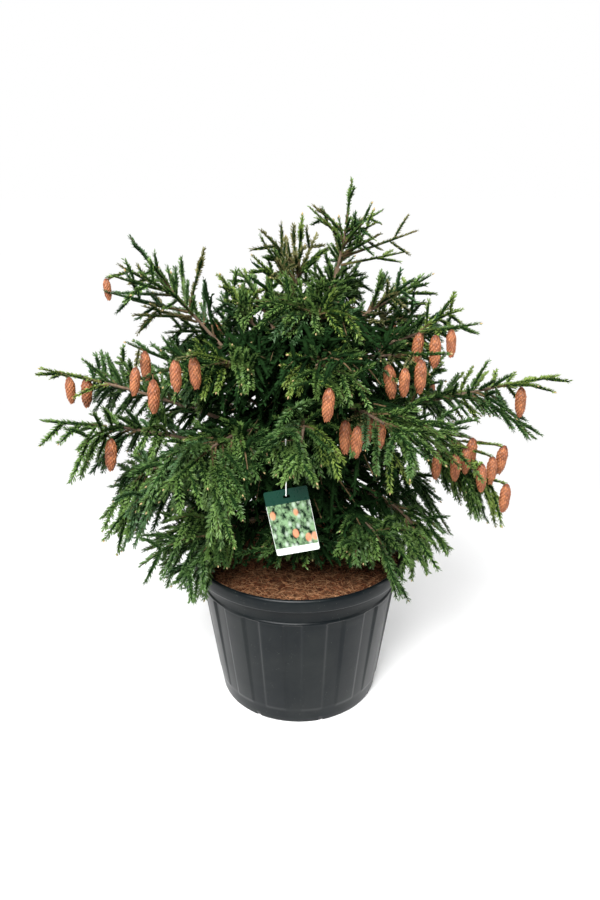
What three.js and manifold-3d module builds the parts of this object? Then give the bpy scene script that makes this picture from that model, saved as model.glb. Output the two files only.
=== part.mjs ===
// A cone-bearing dwarf Norway spruce in a round nursery pot, 1.16 m tall with its pot.
// Millimetres, +Z up. The origin is the middle of the pot's flat underside.
// The viewer of the front stands on -Y and sees +X on the right.

import * as THREE from 'three';
import { mergeVertices } from 'three/addons/utils/BufferGeometryUtils.js';
import Module from 'manifold-3d';

const wasm = await Module();
wasm.setup();

// Driving sizes of the pot

const POT_HEIGHT = 355;
const RIM_RADIUS = 250;
const BASE_RADIUS = 186;
const SKIRT_HEIGHT = 28;
const COLLAR_BOTTOM = 285;
const COLLAR_RADIUS = 228;
const SHOULDER_RADIUS = 222;
const WALL = 3.6;
const FLOOR_THICKNESS = 4;
const FOOT_BAND = 34;

const PANEL_COUNT = 15;
const PANEL_TURN = 8.6;
const PANEL_WIDTH = 14;
const PANEL_RELIEF_TOP = 4.5;
const PANEL_RELIEF_BOTTOM = 1.2;

const NOTCH_COUNT = 8;
const NOTCH_TURN = 15.5;
const NOTCH_WIDTH = 12;
const NOTCH_HEIGHT = 7;

const SOIL_LEVEL = 335;
const SOIL_BUMP = 5;

// Every piece keeps this gap to the piece that it touches
const GAP = 0.3;

// Driving sizes of the wood

const TRUNK = { middle: [8, 6, 700], tip: [80, 10, 990], foot: 25, end: 5, flare: 13, flareHeight: 20 };
const TRUNK_SIDES = 10;
const TRUNK_RINGS = [0, 0.012, 0.035, 0.08, 0.16, 0.3, 0.45, 0.6, 0.75, 0.88, 1];
const BOUGH_SIDES = 5;
const BOUGH_RINGS = 4;
const STEM_RINGS = 4;
const STEM_RINGS_TO_CARRIER = 5;
const CARRIER_RINGS = 9;
const CARRIER_SIDES = 8;
const STEM_END_RADIUS = 3.4;

// Driving sizes of one spray of needle shoots: a blade with a tooth for each side shoot

const TEETH = 2;
const LAST_TOOTH_END = 0.79;
const FIRST_TOOTH_LENGTH = 0.58;
const LAST_TOOTH_LENGTH = 0.44;
const TOOTH_ANGLE = 48;
const TOOTH_DROOP = 0.1;
const SPRAY_THICKNESS = 0.07;
const NOTCH_SHARE = 0.12;
const SUNK_SHARE = 0.4;
const NECK_REACH = 1.6;
const NECK_RADIUS = 2.6;
const ROLL_MIDDLE = 32;
const ROLL_RANGE = 44;
const UPRIGHT_ROLL = 70;
const UPRIGHT = 0.8;
const ANGLE_RANGE = 12;
const TAPER = 0.4;
const LENGTH_RANGE = 0.12;
const HANG_RANGE = 0.3;
const TILT_RANGE = 0.35;
const TRY_SHORTENS = 0.045;
const LOOK_UP = 0.3;
const LOOK_OUT = 0.95;
const LEAFY_FROM = 0.34;
const SPRAY_TRIES = 14;
const AIMED_WIDTH = 0.55;
const SHORTEST_SPRAY = 70;
const END_SPRAY_SHARE = 0.72;

// Room kept round a spray, in mm

const SPACE_MARGIN = 3;
const LIMB_MARGIN = 4;
const SPRAY_MARGIN = 4;
const RIM_MARGIN = 9;
const LABEL_MARGIN = 14;

const CONE_LENGTH = 79;
const CONE_RADIUS = 15.5;
const CONE_SIDES = 5;
const CONE_PROFILE = [[0.26, 1], [1, 0.4]];
const CONE_LEAN = 9;
const CONE_TWIG_RADIUS = 1.6;
const CONE_HOLDS = [0.35, 0.5, 0.65, 0.8];
const CONE_DROP = 5;

const LABEL = { width: 84, height: 136, thick: 1.2, turn: 11, slotWidth: 13, slotHeight: 6, slotDrop: 12 };
const TIE = { drop: 112, halfWidth: 5.5, wire: 1.1, share: 0.8, reach: -38, fall: 6 };

// The limbs, from the top of the plant down. foot is the height where a limb leaves the
// stem that carries it, tip its furthest point, lift how far its middle bows up from the
// straight line, wood the bare share that is a bough of its own (0: the mass springs from
// the stem itself), thick the radius at its foot. spray is the length of the longest
// spray, sprays their number, hang how far they droop for their length, spread their
// angle to the limb in degrees, taper how much shorter they get towards the tip.

const LEFT_STEM = {
  name: 'left_stem', from: 'trunk', foot: 470, tip: [-12, 4, 930], lift: 0, swing: [-70, 22],
  thick: 15, end: 5,
};

const LIMBS = [
  { name: 'leader', from: 'trunk', top: true, tip: [106, 10, 1160],
    width: 0.65, spray: 120, sprays: 5, hang: 0.02, spread: 58,
    aimed: [[0.12, 240, 10, 1062], [0.3, 82, 4, 1085], [0.02, 218, 30, 1018], [0.05, 40, -20, 1045]] },
  { name: 'left_crown', from: 'left_stem', top: true, tip: [7, 0, 1090],
    spray: 150, sprays: 8, hang: 0.05, spread: 48,
    aimed: [[0.1, -78, 0, 1052], [0.02, -90, -30, 1015], [0.2, 54, -10, 1030]] },
  { name: 'outer_left', from: 'left_stem', foot: 705, tip: [-335, -30, 1053], lift: -45, wood: 0.55,
    thick: 8, width: 0.65, spray: 150, sprays: 6, hang: 0, spread: 44,
    aimed: [
      [0.64, -189, -32, 1028], [0.72, -358, -45, 1000], [0.62, -385, -60, 950], [0.6, -330, -70, 905],
    ] },
  { name: 'left_top', from: 'left_stem', foot: 805, tip: [-157, -20, 975], lift: -30, wood: 0,
    thick: 6, spray: 165, sprays: 8, hang: 0.15, spread: 48 },
  { name: 'right_top', from: 'trunk', foot: 835, tip: [272, 0, 975], lift: 5, wood: 0.3,
    thick: 7, spray: 165, sprays: 8, hang: 0.1, spread: 46 },
  { name: 'front_top', from: 'trunk', foot: 865, tip: [25, -200, 935], lift: 15, wood: 0,
    thick: 6, spray: 165, sprays: 8, hang: 0.25, spread: 48 },
  { name: 'back_top', from: 'trunk', foot: 850, tip: [95, 210, 1000], lift: -10, wood: 0,
    thick: 6, spray: 165, sprays: 8, hang: 0.2, spread: 48 },
  { name: 'back_left_top', from: 'left_stem', foot: 825, tip: [-125, 175, 965], lift: -10, wood: 0,
    thick: 6, spray: 165, sprays: 8, hang: 0.2, spread: 48 },

  { name: 'right_high', from: 'trunk', foot: 745, tip: [366, -50, 884], lift: 55, wood: 0.35,
    thick: 8, spray: 165, sprays: 8, hang: 0.25, spread: 44 },
  { name: 'left_high', from: 'left_stem', foot: 660, tip: [-345, -80, 850], lift: 25, wood: 0.35,
    thick: 8, spray: 175, sprays: 8, hang: 0.3, spread: 44 },
  { name: 'front_left_high', from: 'left_stem', foot: 725, tip: [-195, -235, 865], lift: 30, wood: 0.3,
    thick: 7, spray: 170, sprays: 8, hang: 0.3, spread: 44 },
  { name: 'front_high', from: 'trunk', foot: 800, tip: [30, -325, 820], lift: 45, wood: 0,
    thick: 7, spray: 170, sprays: 8, hang: 0.4, spread: 44 },
  { name: 'front_right_high', from: 'trunk', foot: 785, tip: [285, -175, 850], lift: 15, wood: 0.3,
    thick: 7, spray: 165, sprays: 8, hang: 0.35, spread: 44 },
  { name: 'back_right_high', from: 'trunk', foot: 765, tip: [280, 205, 880], lift: 25, wood: 0.35,
    thick: 7, spray: 175, sprays: 7, hang: 0.3, spread: 44 },
  { name: 'back_high', from: 'trunk', foot: 720, tip: [20, 340, 865], lift: 35, wood: 0.35,
    thick: 7, spray: 175, sprays: 7, hang: 0.3, spread: 44 },
  { name: 'back_left_high', from: 'left_stem', foot: 745, tip: [-275, 210, 870], lift: 25, wood: 0.35,
    thick: 7, spray: 175, sprays: 7, hang: 0.3, spread: 44 },

  { name: 'left_long', from: 'left_stem', foot: 600, tip: [-545, -20, 782], lift: 35, wood: 0.4,
    thick: 9, spray: 185, sprays: 8, hang: 0.3, spread: 42, taper: 0.65 },
  { name: 'left_middle', from: 'left_stem', foot: 540, tip: [-525, -110, 695], lift: 50, wood: 0.35,
    thick: 9, spray: 190, sprays: 8, hang: 0.45, spread: 44 },
  { name: 'right_long', from: 'trunk', foot: 640, tip: [558, 0, 762], lift: 10, wood: 0.35,
    thick: 9, spray: 190, sprays: 8, hang: 0.35, spread: 42, taper: 0.72 },
  { name: 'right_weeping', from: 'trunk', foot: 590, tip: [445, -75, 490], lift: 230, arch: 0.75, wood: 0.3,
    thick: 9, spray: 180, sprays: 8, hang: 0.45, spread: 42 },
  { name: 'front_middle', from: 'trunk', foot: 665, tip: [0, -385, 695], lift: 70, wood: 0.3,
    thick: 8, spray: 140, sprays: 11, hang: 0.4, spread: 48 },
  { name: 'front_left_middle', from: 'left_stem', foot: 640, tip: [-235, -355, 650], lift: 75, wood: 0.3,
    thick: 8, spray: 185, sprays: 8, hang: 0.5, spread: 44 },
  { name: 'front_right_middle', from: 'trunk', foot: 700, tip: [225, -340, 700], lift: 65, wood: 0.3,
    thick: 8, spray: 180, sprays: 8, hang: 0.45, spread: 44 },
  { name: 'back_middle', from: 'trunk', foot: 615, tip: [50, 470, 700], lift: 80, wood: 0.35,
    thick: 8, spray: 190, sprays: 7, hang: 0.45, spread: 44 },
  { name: 'back_left_middle', from: 'left_stem', foot: 570, tip: [-355, 310, 690], lift: 75, wood: 0.35,
    thick: 8, spray: 190, sprays: 7, hang: 0.45, spread: 44 },
  { name: 'back_right_middle', from: 'trunk', foot: 565, tip: [370, 290, 700], lift: 75, wood: 0.35,
    thick: 8, spray: 190, sprays: 7, hang: 0.45, spread: 44 },

  { name: 'left_low', from: 'trunk', foot: 455, tip: [-420, -115, 480], lift: 230, arch: 0.8, wood: 0,
    thick: 8, spray: 185, sprays: 8, hang: 0.55, spread: 42 },
  { name: 'right_low', from: 'trunk', foot: 500, tip: [290, -110, 315], lift: 160, arch: 0.95, wood: 0,
    thick: 8, spray: 180, sprays: 8, hang: 0.5, spread: 42 },
  { name: 'left_skirt', from: 'trunk', foot: 415, tip: [-287, -30, 245], lift: 215, arch: 1, wood: 0,
    thick: 7, spray: 170, sprays: 8, hang: 0.45, spread: 42 },
  { name: 'front_low', from: 'trunk', foot: 405, tip: [15, -310, 430], lift: 100, wood: 0,
    thick: 7, spray: 170, sprays: 8, hang: 0.3, spread: 48 },
  { name: 'front_left_low', from: 'trunk', foot: 430, tip: [-235, -265, 400], lift: 130, arch: 0.8, wood: 0,
    thick: 7, spray: 175, sprays: 8, hang: 0.45, spread: 44 },
  { name: 'front_right_low', from: 'trunk', foot: 470, tip: [205, -260, 375], lift: 140, arch: 0.85, wood: 0,
    thick: 7, spray: 175, sprays: 8, hang: 0.45, spread: 44 },
  { name: 'back_low', from: 'trunk', foot: 425, tip: [10, 350, 420], lift: 130, arch: 0.8, wood: 0,
    thick: 7, spray: 180, sprays: 7, hang: 0.45, spread: 44 },
  { name: 'back_left_low', from: 'trunk', foot: 440, tip: [-290, 240, 400], lift: 140, arch: 0.8, wood: 0,
    thick: 7, spray: 180, sprays: 7, hang: 0.45, spread: 44 },
  { name: 'back_right_low', from: 'trunk', foot: 480, tip: [320, 190, 400], lift: 140, arch: 0.8, wood: 0,
    thick: 7, spray: 180, sprays: 7, hang: 0.45, spread: 44 },
];

// Where the cones hang: the top of each, in mm, in their groups round the crown

const CONES = [
  [250, -40, 890], [278, -66, 880], [314, -40, 890],
  [55, -290, 815], [90, -205, 810], [112, -232, 805], [138, -168, 795], [160, -202, 803],
  [176, -138, 820], [204, -172, 822], [238, -146, 832],
  [480, -10, 740],
  [290, -110, 625], [325, -125, 630], [352, -95, 632], [378, -130, 612],
  [372, -62, 648], [408, -100, 618], [438, -72, 636], [440, -110, 556],
  [-312, -80, 868], [-322, -124, 812], [-286, -140, 797], [-196, -206, 885], [-226, -234, 870],
  [-482, -44, 795], [-456, -4, 785], [-385, -120, 680], [-385, -50, 975],
  [215, 165, 860], [248, 150, 870], [40, 300, 830], [-190, 180, 850], [-280, 240, 690],
  [330, 240, 690], [60, 400, 690],
];

// Finishes

const FINISHES = {
  pot: { color: 0x3f4448, roughness: 0.42, metalness: 0 },
  soil: { color: 0x6b3f26, roughness: 1, metalness: 0 },
  bark: { color: 0x7a5d47, roughness: 0.9, metalness: 0 },
  needles: { color: 0x2f5d33, roughness: 0.75, metalness: 0 },
  card: { color: 0xdde3d8, roughness: 0.35, metalness: 0 },
  tie: { color: 0xf2f2ee, roughness: 0.4, metalness: 0 },
};

const UP = new THREE.Vector3(0, 0, 1);
const rad = THREE.MathUtils.degToRad;
const vec = (values) => new THREE.Vector3(...values);
const model = new THREE.Group();

// The same seed always gives the same row of numbers between 0 and 1
function seeded(seed) {
  let state = seed >>> 0;
  return () => {
    state = (state + 0x6d2b79f5) >>> 0;
    let mixed = Math.imul(state ^ (state >>> 15), 1 | state);
    mixed = (mixed + Math.imul(mixed ^ (mixed >>> 7), 61 | mixed)) ^ mixed;
    return ((mixed ^ (mixed >>> 14)) >>> 0) / 4294967296;
  };
}

// Closed solids

// The points and faces of one closed skin while it is put together
class Skin {
  constructor() {
    this.points = [];
    this.faces = [];
  }

  put(point) {
    return this.points.push(point) - 1;
  }

  face(a, b, c) {
    if (a !== b && b !== c && c !== a) this.faces.push([a, b, c]);
  }

  // A three-sided sleeve between two stations
  sleeve(near, far) {
    const [a, b] = [near, far].map(({ ridge, edges }) => [ridge, ...edges]);
    [[0, 1], [1, 2], [2, 0]].forEach(([i, j]) => {
      this.face(a[i], b[i], b[j]);
      this.face(a[i], b[j], a[j]);
    });
  }

  solid() {
    return solidOf(this.points, this.faces);
  }
}

function signedVolume(points, faces) {
  const side = new THREE.Vector3();
  const volumes = faces.map(([a, b, c]) => side.crossVectors(points[b], points[c]).dot(points[a]));
  return volumes.reduce((sum, volume) => sum + volume, 0);
}

function solidOf(points, faces) {
  const outward = signedVolume(points, faces) > 0;
  const triVerts = new Uint32Array(faces.flatMap(([a, b, c]) => (outward ? [a, b, c] : [a, c, b])));
  const vertProperties = new Float32Array(points.flatMap((point) => point.toArray()));
  return new wasm.Manifold(new wasm.Mesh({ numProp: 3, vertProperties, triVerts }));
}

function solidOfGeometry(geometry) {
  geometry.deleteAttribute('normal');
  geometry.deleteAttribute('uv');
  const merged = mergeVertices(geometry, 1e-4);
  const vertProperties = merged.attributes.position.array;
  return new wasm.Manifold(new wasm.Mesh({ numProp: 3, vertProperties, triVerts: merged.index.array }));
}

function addNode(name, solid, finish) {
  const { numProp, vertProperties, triVerts } = solid.getMesh();
  const geometry = new THREE.BufferGeometry();
  const positions = new Float32Array((vertProperties.length / numProp) * 3);
  for (let i = 0; i < positions.length / 3; i += 1) {
    positions.set(vertProperties.subarray(i * numProp, i * numProp + 3), i * 3);
  }
  geometry.setAttribute('position', new THREE.BufferAttribute(positions, 3));
  geometry.setIndex(new THREE.BufferAttribute(new Uint32Array(triVerts), 1));
  const mesh = new THREE.Mesh(geometry, new THREE.MeshStandardMaterial({ ...FINISHES[finish] }));
  mesh.name = name;
  model.add(mesh);
}

// Rings of the same number of points, skinned into a closed solid. A pointed end is a
// ring of one point; closed joins the last ring to the first, as on a loop of wire.
function skin(rings, closed = false) {
  const points = rings.flat();
  const starts = rings.map((_, i) => rings.slice(0, i).reduce((sum, ring) => sum + ring.length, 0));
  const faces = [];
  const bands = closed ? rings.length : rings.length - 1;
  for (let i = 0; i < bands; i += 1) {
    const next = (i + 1) % rings.length;
    const [a, b] = [starts[i], starts[next]];
    const [na, nb] = [rings[i].length, rings[next].length];
    const count = Math.max(na, nb);
    for (let j = 0; j < count; j += 1) {
      const k = (j + 1) % count;
      if (na > 1) faces.push([a + j, a + k, b + (nb > 1 ? k : 0)]);
      if (nb > 1) faces.push([a + (na > 1 ? j : 0), b + k, b + j]);
    }
  }
  if (!closed) {
    const last = rings.length - 1;
    const [first, end] = [starts[0], starts[last]];
    for (let j = 1; j + 1 < rings[0].length; j += 1) faces.push([first, first + j + 1, first + j]);
    for (let j = 1; j + 1 < rings[last].length; j += 1) faces.push([end, end + j, end + j + 1]);
  }
  return solidOf(points, faces);
}

// A ring of points round a centre, square to the axis, starting on the side nearest to start
function ring(centre, axis, start, radius, sides) {
  const first = start.clone().addScaledVector(axis, -start.dot(axis)).normalize();
  const second = new THREE.Vector3().crossVectors(axis, first);
  return Array.from({ length: sides }, (_, i) => {
    const turn = (2 * Math.PI * i) / sides;
    return centre.clone()
      .addScaledVector(first, radius * Math.cos(turn))
      .addScaledVector(second, radius * Math.sin(turn));
  });
}

// Pot

const circle = (radius, degrees, z) => {
  const turn = rad(degrees);
  return new THREE.Vector3(radius * Math.sin(turn), -radius * Math.cos(turn), z);
};

const skirtBottom = POT_HEIGHT - SKIRT_HEIGHT;

// The inside of the wall, from the floor up to the lip, as radius and height
const potInside = [
  [BASE_RADIUS - WALL - 1, FLOOR_THICKNESS],
  [COLLAR_RADIUS - WALL, skirtBottom - 6],
  [RIM_RADIUS - 11, POT_HEIGHT - 8],
];

// The outside of the wall between its panels, from the middle of the underside up to the
// lip. The third value is how far a panel stands out there.
const potOutside = [
  [BASE_RADIUS - 5, 0, 0],
  [BASE_RADIUS, 5, 0],
  [BASE_RADIUS + 4, FOOT_BAND, 0],
  [BASE_RADIUS + 6, FOOT_BAND + 9, PANEL_RELIEF_BOTTOM],
  [SHOULDER_RADIUS, COLLAR_BOTTOM - 4, PANEL_RELIEF_TOP],
  [SHOULDER_RADIUS + 0.5, COLLAR_BOTTOM, 0],
  [COLLAR_RADIUS, skirtBottom, 0],
  [RIM_RADIUS - 1, skirtBottom, 0],
  [RIM_RADIUS - 1, POT_HEIGHT - 5, 0],
  [RIM_RADIUS - 6, POT_HEIGHT, 0],
  [RIM_RADIUS - 9.5, POT_HEIGHT - 2, 0],
];

// Around the pot: each panel has three upright edges, with a groove before the next
const potColumns = Array.from({ length: PANEL_COUNT }, (_, panel) => {
  const pitch = 360 / PANEL_COUNT;
  const middle = PANEL_TURN + pitch * panel;
  return [-PANEL_WIDTH / 2, 0, PANEL_WIDTH / 2, pitch / 2].map((turn, column) => ({
    degrees: middle + turn,
    raised: column < 3,
  }));
}).flat();

function potInsideRadius(z) {
  const above = potInside.findIndex(([, height]) => height > z);
  const [[r0, z0], [r1, z1]] = [potInside[above - 1], potInside[above]];
  return THREE.MathUtils.mapLinear(z, z0, z1, r0, r1);
}

function potNotch(middle) {
  const geometry = new THREE.BoxGeometry(NOTCH_WIDTH, 16, 2 * NOTCH_HEIGHT);
  geometry.translate(0, -BASE_RADIUS, 0);
  geometry.rotateZ(rad(middle));
  return solidOfGeometry(geometry);
}

function buildPot() {
  const outside = potOutside.map(([radius, z, relief]) => (
    potColumns.map(({ degrees, raised }) => circle(radius + (raised ? relief : 0), degrees, z))));
  const inside = potInside.slice().reverse().map(([radius, z]) => (
    potColumns.map(({ degrees }) => circle(radius, degrees, z))));
  const ends = [[new THREE.Vector3(0, 0, 0)], [new THREE.Vector3(0, 0, FLOOR_THICKNESS)]];
  let pot = skin([ends[0], ...outside, ...inside, ends[1]]);
  for (let i = 0; i < NOTCH_COUNT; i += 1) {
    pot = pot.subtract(potNotch(NOTCH_TURN + (360 * i) / NOTCH_COUNT));
  }
  addNode('pot', pot, 'pot');
}

// Soil: fills the pot to just under the rim, flat round the trunk and rough further out
function buildSoil() {
  const random = seeded(5);
  const [bottomRadius, bottomZ] = potInside[0];
  const [shoulderRadius, shoulderZ] = potInside[1];
  const levels = [
    [bottomRadius - GAP, bottomZ + GAP, 0],
    [shoulderRadius - 2 * GAP, shoulderZ, 0],
    [potInsideRadius(SOIL_LEVEL) - 2 * GAP, SOIL_LEVEL, 0],
    [BASE_RADIUS, SOIL_LEVEL, SOIL_BUMP],
    [60, SOIL_LEVEL, 0],
  ];
  const columns = potColumns.filter((_, column) => column % 2 === 0);
  const rings = levels.map(([radius, z, bump]) => (
    columns.map(({ degrees }) => circle(radius, degrees, z + bump * (2 * random() - 1)))));
  const bottom = new THREE.Vector3(0, 0, FLOOR_THICKNESS + GAP);
  const top = new THREE.Vector3(0, 0, SOIL_LEVEL);
  addNode('soil', skin([[bottom], ...rings, [top]]), 'soil');
}

// Limbs: each follows one bow from its foot to its tip

class Limb {
  constructor(foot, middle, tip, thick, end) {
    this.bow = new THREE.QuadraticBezierCurve3(foot, middle, tip);
    this.thick = thick;
    this.end = end;
  }

  at(share) {
    return this.bow.getPoint(share);
  }

  along(share) {
    return this.bow.getTangent(share);
  }

  radius(share) {
    return THREE.MathUtils.lerp(this.thick, this.end, share);
  }

  // The share where the limb reaches a height
  shareAtHeight(z) {
    let [low, high] = [0, 1];
    for (let i = 0; i < 30; i += 1) {
      const middle = (low + high) / 2;
      if (this.at(middle).z < z) low = middle;
      else high = middle;
    }
    return (low + high) / 2;
  }

  // A tube between two shares; grow thickens it, sides is the number of its faces
  tube(from, to, rings, sides, grow = 0) {
    const shares = Array.from({ length: rings }, (_, i) => THREE.MathUtils.lerp(from, to, i / (rings - 1)));
    return skin(shares.map((share) => (
      ring(this.at(share), this.along(share), this.start(), this.radius(share) + grow, sides))));
  }

  // The side that a ring starts on: up, or outwards on a stem that stands upright
  start() {
    const upright = Math.abs(this.along(0.5).z) > UPRIGHT;
    return upright ? new THREE.Vector3(1, 0, 0) : UP;
  }
}

class Trunk extends Limb {
  radius(share) {
    const height = share * (this.bow.v2.z - this.bow.v0.z);
    return super.radius(share) + TRUNK.flare * Math.exp(-height / TRUNK.flareHeight);
  }

  solid(grow = 0) {
    const rings = TRUNK_RINGS.map((share) => {
      const axis = share === 0 ? UP : this.along(share);
      return ring(this.at(share), axis, this.start(), this.radius(share) + grow, TRUNK_SIDES);
    });
    return skin(rings);
  }
}

function limbOf(row, carrier) {
  const foot = row.top ? carrier.at(1) : carrier.at(carrier.shareAtHeight(row.foot));
  const tip = vec(row.tip);
  const [swingX, swingY] = row.swing ?? [0, 0];
  const thick = row.thick ?? carrier.end;
  if (row.top) {
    const ahead = foot.clone().addScaledVector(carrier.along(1), 0.45 * foot.distanceTo(tip));
    return new Limb(foot, ahead, tip, thick, STEM_END_RADIUS);
  }
  const middle = foot.clone().lerp(tip, row.arch ?? 0.5);
  middle.set(middle.x + swingX, middle.y + swingY, (foot.z + tip.z) / 2 + row.lift);
  return new Limb(foot, middle, tip, thick, row.end ?? STEM_END_RADIUS);
}

// Distances between straight stretches, for keeping sprays clear of wood and each other

function pointToStretch(point, from, to) {
  const [x, y, z] = [to.x - from.x, to.y - from.y, to.z - from.z];
  const [px, py, pz] = [point.x - from.x, point.y - from.y, point.z - from.z];
  const share = THREE.MathUtils.clamp((px * x + py * y + pz * z) / (x * x + y * y + z * z), 0, 1);
  return Math.hypot(px - share * x, py - share * y, pz - share * z);
}

function stretchToStretch(a0, a1, b0, b1) {
  const [a, b, between] = [a1.clone().sub(a0), b1.clone().sub(b0), a0.clone().sub(b0)];
  const [aa, bb, ab] = [a.lengthSq(), b.lengthSq(), a.dot(b)];
  const [ac, bc] = [a.dot(between), b.dot(between)];
  const spread = aa * bb - ab * ab;
  const clamp = (value) => THREE.MathUtils.clamp(value, 0, 1);
  let s = spread > 1e-9 ? clamp((ab * bc - ac * bb) / spread) : 0;
  const t = clamp((ab * s + bc) / bb);
  s = clamp((ab * t - ac) / aa);
  return between.addScaledVector(a, s).addScaledVector(b, -t).length();
}

// A chain of short straight stretches along a limb
function chainOf(limb, from, to, count) {
  return Array.from({ length: count }, (_, i) => {
    const [a, b] = [i, i + 1].map((step) => THREE.MathUtils.lerp(from, to, step / count));
    return { from: limb.at(a), to: limb.at(b), radius: limb.radius((a + b) / 2) };
  });
}

function chainDistance(point, chain) {
  return Math.min(...chain.map(({ from, to }) => pointToStretch(point, from, to)));
}

// Sprays

// The way a spray's flat looks at a place: up, and outwards from the plant's middle
function lookOf(place) {
  const outward = place.clone().setZ(0).normalize();
  return UP.clone().multiplyScalar(LOOK_UP).addScaledVector(outward, LOOK_OUT);
}

// One spray: its rib from root to tip, drooping by hang, and a pair of side shoots for
// each tooth. across is the direction of its right side, face the way its flat looks.
class Spray {
  constructor(root, along, length, hang, face, thick, width) {
    this.root = root;
    this.thick = thick;
    this.width = width;
    this.along = along;
    this.length = length;
    this.hang = hang;
    this.across = new THREE.Vector3().crossVectors(along, face).normalize();
    this.face = new THREE.Vector3().crossVectors(this.across, along).normalize();
  }

  station(tooth) {
    return (LAST_TOOTH_END * tooth) / TEETH;
  }

  rib(share) {
    return this.root.clone()
      .addScaledVector(this.along, this.length * share)
      .addScaledVector(UP, -this.hang * this.length * share * share);
  }

  // The blade's edge at a share of the rib, between two side shoots
  edge(share, side) {
    return this.rib(share).addScaledVector(this.across, side * NOTCH_SHARE * this.width * this.length);
  }

  // The foot and the tip of the side shoot between two stations, on side -1 or 1
  shoot(tooth, side) {
    const outer = tooth / (TEETH - 1);
    const part = THREE.MathUtils.lerp(FIRST_TOOTH_LENGTH, LAST_TOOTH_LENGTH, outer);
    const length = this.width * this.length * part;
    const foot = this.rib(this.station(tooth + 0.5));
    const tip = foot.clone()
      .addScaledVector(this.along, length * Math.cos(rad(TOOTH_ANGLE)))
      .addScaledVector(this.across, side * length * Math.sin(rad(TOOTH_ANGLE)))
      .addScaledVector(UP, -(TOOTH_DROOP + this.hang * 0.6) * length);
    return [foot, tip];
  }

  ribLine() {
    return { from: this.rib(0.3), to: this.rib(1) };
  }

  // The lines that bound the blade: its rib, and both edges and the middle of each tooth
  stretches() {
    const half = this.rib(0.5);
    const lines = [[this.rib(0.16), half], [half, this.rib(1)]];
    for (let tooth = 0; tooth < TEETH; tooth += 1) {
      [-1, 1].forEach((side) => {
        const [foot, tip] = this.shoot(tooth, side);
        const near = tooth === 0 ? this.rib(0.1) : this.edge(this.station(tooth), side);
        lines.push([foot, tip], [near, tip], [this.edge(this.station(tooth + 1), side), tip]);
      });
    }
    return lines;
  }

  // Whether this spray's shoots and outer rib stay clear of another spray's
  clearOf(other) {
    if (this.root.distanceTo(other.root) > this.length + other.length) return true;
    const [mine, others] = [this.stretches().slice(1), other.stretches().slice(1)];
    return mine.every(([a, b]) => others.every(([c, d]) => stretchToStretch(a, b, c, d) > SPRAY_MARGIN));
  }

  // Three points round the rib: its ridge and both edges
  stationOf(skin, share, height, half) {
    const rib = this.rib(share);
    return {
      ridge: skin.put(rib.clone().addScaledVector(this.face, height)),
      edges: [-1, 1].map((side) => skin.put(rib.clone().addScaledVector(this.across, side * half))),
    };
  }

  // The blade from three points at its root out to its tip
  blade(skin, base) {
    const stations = [base];
    for (let i = 1; i <= TEETH; i += 1) {
      const share = this.station(i);
      const height = SPRAY_THICKNESS * this.length * (1 - 0.5 * share);
      stations.push(this.stationOf(skin, share, height, NOTCH_SHARE * this.width * this.length));
    }
    const tip = skin.put(this.rib(1));
    stations.push({ ridge: tip, edges: [tip, tip] });
    for (let tooth = 0; tooth <= TEETH; tooth += 1) {
      const [near, far] = [stations[tooth], stations[tooth + 1]];
      const inner = tooth < TEETH;
      const [left, right] = inner ? [-1, 1].map((side) => skin.put(this.shoot(tooth, side)[1])) : far.edges;
      skin.face(near.ridge, left, near.edges[0]);
      skin.face(near.ridge, far.ridge, left);
      skin.face(far.ridge, far.edges[0], left);
      skin.face(near.ridge, near.edges[1], right);
      skin.face(near.ridge, right, far.ridge);
      skin.face(far.ridge, right, far.edges[1]);
      skin.face(near.edges[0], left, far.edges[0]);
      skin.face(near.edges[1], far.edges[1], right);
      skin.face(near.edges[0], far.edges[0], near.edges[1]);
      skin.face(near.edges[1], far.edges[0], far.edges[1]);
    }
  }

  // The whole spray: a pointed root inside the stem, a neck outside it and the blade
  solid() {
    const skin = new Skin();
    const root = skin.put(this.root.clone().addScaledVector(this.along, -SUNK_SHARE * this.thick));
    const reach = NECK_REACH * this.thick + NECK_RADIUS;
    const neck = this.stationOf(skin, reach / this.length, NECK_RADIUS, NECK_RADIUS);
    skin.face(root, neck.ridge, neck.edges[0]);
    skin.face(root, neck.edges[1], neck.ridge);
    skin.face(root, neck.edges[0], neck.edges[1]);
    this.blade(skin, neck);
    return skin.solid();
  }
}

// Cones hang from a short twig

function coneAxis(random) {
  const lean = rad(CONE_LEAN) * random();
  const turn = 2 * Math.PI * random();
  return new THREE.Vector3(Math.sin(lean) * Math.cos(turn), Math.sin(lean) * Math.sin(turn), -Math.cos(lean));
}

// One closed skin: the twig from where it holds down to the top of the cone, then the cone
function coneSolid(hold, top, axis) {
  const way = top.clone().sub(hold).normalize();
  const across = new THREE.Vector3().crossVectors(way, axis);
  const start = across.length() > 0.1 ? across : new THREE.Vector3(0.1, 1, 0);
  const rings = CONE_PROFILE.map(([share, width]) => ring(
    top.clone().addScaledVector(axis, share * CONE_LENGTH), axis, start, width * CONE_RADIUS, CONE_SIDES));
  return skin([
    ring(hold, way, start, CONE_TWIG_RADIUS, CONE_SIDES),
    ring(top, axis, start, CONE_TWIG_RADIUS, CONE_SIDES),
    ...rings,
  ]);
}

function twigSolid(from, to, radius) {
  const axis = to.clone().sub(from).normalize();
  return skin([ring(from, axis, UP, radius, 3), ring(to, axis, UP, radius, 3)]);
}

// Masses: each grows from one stem and keeps to the space that is nearest to that stem

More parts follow.
